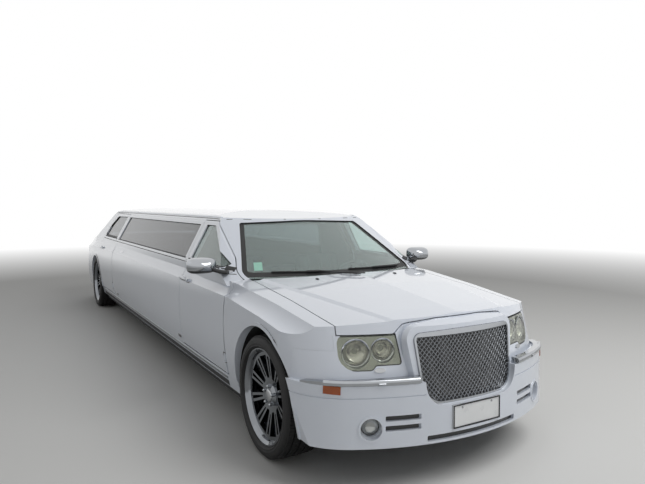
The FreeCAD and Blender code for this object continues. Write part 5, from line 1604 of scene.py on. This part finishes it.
    def build(self) -> None:
        """Builds the front chairs, the rear sofa and the side bench."""
        for label, y in (("driver", 0.395), ("passenger", -0.395)):
            for part, middle, size, lean in (("cushion", (1.80, y, 0.50), (0.50, 0.50, 0.15), 0),
                                             ("back", (1.535, y, 0.80), (0.14 + 0.42, 0.48, 0.13), 71)):
                pad = Pad(f"{label}_{part}", middle, size, lean, "Y", (-0.12, 0.0, 0.12), 1)
                self.cushion(pad)
            self.plinth(f"{label}_plinth", (1.58, y - 0.22, 0.226), (1.99, y + 0.22, 0.44))
        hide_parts("front_seats")
        for index, y in enumerate((-0.515, 0.0, 0.515)):
            for part, middle, size, lean, channels in (
                ("cushion", (-2.12, y, 0.485), (0.54, 0.505, 0.14), 0, (-0.085, 0.085)),
                ("back", (-2.435, y, 0.785), (0.48, 0.505, 0.12), 72, (-0.12, 0.0, 0.12)),
            ):
                self.cushion(Pad(f"sofa_{part}_{index}", middle, size, lean, "Y", channels, 0))
        self.plinth("sofa_plinth", (-2.38, -0.77, 0.226), (-1.87, 0.77, 0.42))
        for index in range(5):
            x = -1.49 + 0.6 * index
            for part, middle, size, lean, about in (
                ("cushion", (x, -0.50, 0.50), (0.595, 0.36, 0.12), 0, "Y"),
                ("back", (x, -0.73, 0.775), (0.595, 0.40, 0.10), -100, "X"),
            ):
                self.cushion(Pad(f"bench_{part}_{index}", middle, size, lean, about,
                                             (-0.15, 0.0, 0.15), 0))
        self.plinth("bench_plinth", (-1.78, -0.80, 0.226), (1.20, -0.36, 0.44))
        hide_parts("cabin_seats")


@dataclass
class Fittings(Builder):
    """Wipers, washer jets, handle sheaths and mirrors."""

    # name, start and end of each wiper across the screen
    wiper_rows: tuple[tuple[str, float, float], ...] = (("left", 0.60, 0.06), ("right", 0.02, -0.55))
    wiper_height: float = 1.026
    wiper_climb: float = 0.010
    arm_sections: int = 10
    jet_place: tuple[float, float] = (2.80, 0.34)
    # place along the jet, half width and half height of each section, in steps of 6 mm
    jet_sections: tuple[tuple[float, float, float], ...] = ((-3, 0.006, 0.003), (-1.5, 0.010, 0.007),
                                                            (1.5, 0.011, 0.009), (3, 0.007, 0.004))
    jet_step: float = 0.006
    handle_half: float = 0.106
    handle_stand: float = 0.955
    handle_bow: float = 0.0015
    handle_section: tuple[float, float] = (0.0165, 0.0078)
    mirror_middle: tuple[float, float, float] = (2.246, 1.002, 1.094)
    mirror_radii: tuple[float, float, float] = (0.106, 0.108, 0.059)
    mirror_square: float = 3.6
    mirror_cut: float = -0.07
    mirror_glass_x: float = 2.2378
    mirror_glass_radii: tuple[float, float] = (0.044, 0.088)
    # centres of the mirror arm's sections, from the door outwards
    mirror_arm_run: tuple[tuple[float, float, float], ...] = (
        (2.384, 0.846, 1.046), (2.360, 0.878, 1.049), (2.325, 0.915, 1.058), (2.290, 0.950, 1.070),
        (2.265, 0.975, 1.082))

    def wipers(self) -> None:
        """Makes two arms with their blades, parked along the foot of the screen."""
        skin = Skin(self.nodes, ("windscreen", "cowl", "bonnet"))
        for label, start, end in self.wiper_rows:
            for part, wide, high, lift, finish, shift in (
                ("blade", 0.006, 0.006, 0.008, RUBBER_SEAL, 0.0),
                ("arm", 0.008, 0.005, 0.020, BLACK_PLASTIC, -0.004),
            ):
                shares = [step / 16 for step in range(17)]
                points = [(start + (end - start) * k, self.wiper_height + self.wiper_climb * k + shift)
                          for k in shares]
                run = [(place + normal * lift, normal) for place, normal in skin.along(View.FRONT, points)]
                frames = frames_along(run, wide, high)
                self.bar(f"wiper_{part}_{label}", frames[: self.arm_sections if part == "arm" else None], 6,
                         finish, "chassis")

    def jets(self) -> None:
        """Makes two black washer jets on the bonnet."""
        skin = Skin(self.nodes, ("bonnet",))
        for side in Side:
            place, normal = skin.at(View.TOP, self.jet_place[0], side.value * self.jet_place[1])
            ahead = Vector((1, 0, 0))
            frames = [section_frame(place + ahead * (k * self.jet_step), normal, ahead, w, h)
                      for k, w, h in self.jet_sections]
            self.bar(f"washer_jet_{side.label}", frames, 10, BLACK_PLASTIC, "bonnet")

    def handles(self) -> None:
        """Makes the chromed sheaths over the door handles."""
        wide, high = self.handle_section
        for door, x, z in HANDLES:
            for side in Side:
                frames = []
                for step in range(13):
                    share = step / 6 - 1
                    squeeze = 1 - 0.35 * abs(share) ** 4
                    stand = self.handle_stand - self.handle_bow * share * share
                    place = Vector((x + share * self.handle_half, side.value * stand, z))
                    frames.append(section_frame(place, Vector((0, side.value, 0)), Vector((1, 0, 0)),
                                                wide * squeeze, high * squeeze))
                self.bar(f"{door}_handle_{side.label}", frames, 16, CHROME, f"{door}_{side.label}")

    def mirror_shell(self, side: Side) -> None:
        """Makes one squared, rounded shell with a lip round its open back.

        Args:
            side: Side of the car.
        """
        mesh = bmesh.new()
        bmesh.ops.create_uvsphere(mesh, u_segments=56, v_segments=32, radius=1.0)
        bmesh.ops.rotate(mesh, verts=mesh.verts, cent=(0, 0, 0), matrix=Matrix.Rotation(math.pi / 2, 3, "Y"))
        power = self.mirror_square
        for vert in mesh.verts:
            girth = math.hypot(vert.co.y, vert.co.z)
            if girth > 1e-6:
                squared = (abs(vert.co.y / girth) ** power + abs(vert.co.z / girth) ** power) ** (-1 / power)
                vert.co.y *= squared
                vert.co.z *= squared
        cut = bmesh.ops.bisect_plane(mesh, geom=mesh.verts[:] + mesh.edges[:] + mesh.faces[:],
                                     plane_co=(self.mirror_cut, 0, 0), plane_no=(-1, 0, 0), clear_outer=True)
        rim = [e for e in cut["geom_cut"] if isinstance(e, bmesh.types.BMEdge)]
        back = bmesh.ops.contextual_create(mesh, geom=rim)["faces"]
        bmesh.ops.scale(mesh, vec=self.mirror_radii, verts=mesh.verts)
        bmesh.ops.translate(mesh, vec=self.mirror_middle, verts=mesh.verts)
        bmesh.ops.inset_region(mesh, faces=back, thickness=0.006, depth=-0.003)
        self.mirrored(mesh, side)
        shell = self.add(f"mirror_shell_{side.label}", mesh, MIRROR_CAP, f"front_door_{side.label}", 50)
        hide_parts(f"mirror_{side.label}")

    @staticmethod
    def mirrored(mesh: bmesh.types.BMesh, side: Side) -> None:
        """Puts a shape made for the left side on its own side.

        Args:
            mesh: The shape.
            side: Side of the car.
        """
        bmesh.ops.transform(mesh, matrix=Matrix.Diagonal((1, side.value, 1, 1)), verts=mesh.verts)
        bmesh.ops.recalc_face_normals(mesh, faces=mesh.faces)

    def mirror_arm(self, side: Side) -> None:
        """Makes the black arm between one door and its mirror.

        Args:
            side: Side of the car.
        """
        run = [(Vector(place), Vector((0, 0, 1))) for place in self.mirror_arm_run]
        mesh = bmesh.new()
        sweep(mesh, frames_along(run, 0.032, 0.014, taper=0.002), 14)
        self.mirrored(mesh, side)
        self.add(f"mirror_arm_{side.label}", mesh, BLACK_PLASTIC, f"front_door_{side.label}", 50)

    def mirror_glass(self, side: Side) -> None:
        """Makes the silvered glass in one mirror's back.

        Args:
            side: Side of the car.
        """
        _, y, z = self.mirror_middle
        flip = Matrix.Diagonal((1, side.value, 1, 1))
        turn = Matrix.Translation((self.mirror_glass_x, y, z)) @ Matrix.Rotation(math.pi / 2, 4, "Y")
        mesh = bmesh.new()
        bmesh.ops.create_circle(mesh, cap_ends=True, segments=48, radius=1.0,
                                matrix=flip @ turn @ Matrix.Diagonal((*self.mirror_glass_radii, 1, 1)))
        bmesh.ops.solidify(mesh, geom=mesh.faces, thickness=0.001)
        bmesh.ops.recalc_face_normals(mesh, faces=mesh.faces)
        self.add(f"mirror_glass_{side.label}", mesh, MIRROR_GLASS, f"front_door_{side.label}")

    def build(self) -> None:
        """Builds every fitting."""
        self.wipers()
        self.jets()
        self.handles()
        for side in Side:
            self.mirror_shell(side)
            self.mirror_arm(side)
            self.mirror_glass(side)


def main() -> None:
    """Builds every sub-assembly in order and reports each."""
    logging.basicConfig(level=logging.INFO, format="%(name)s: %(message)s")
    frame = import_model()
    shop = Paintshop()
    shop.dress_nodes(frame["nodes"])
    LOG.info("dressed %d nodes", len(frame["nodes"]))
    for assembly in (Trim, Wheels, Nose, Fittings, Upholstery):
        assembly(frame, shop).build()
    Studio().build()


if __name__ == "__main__":
    main()
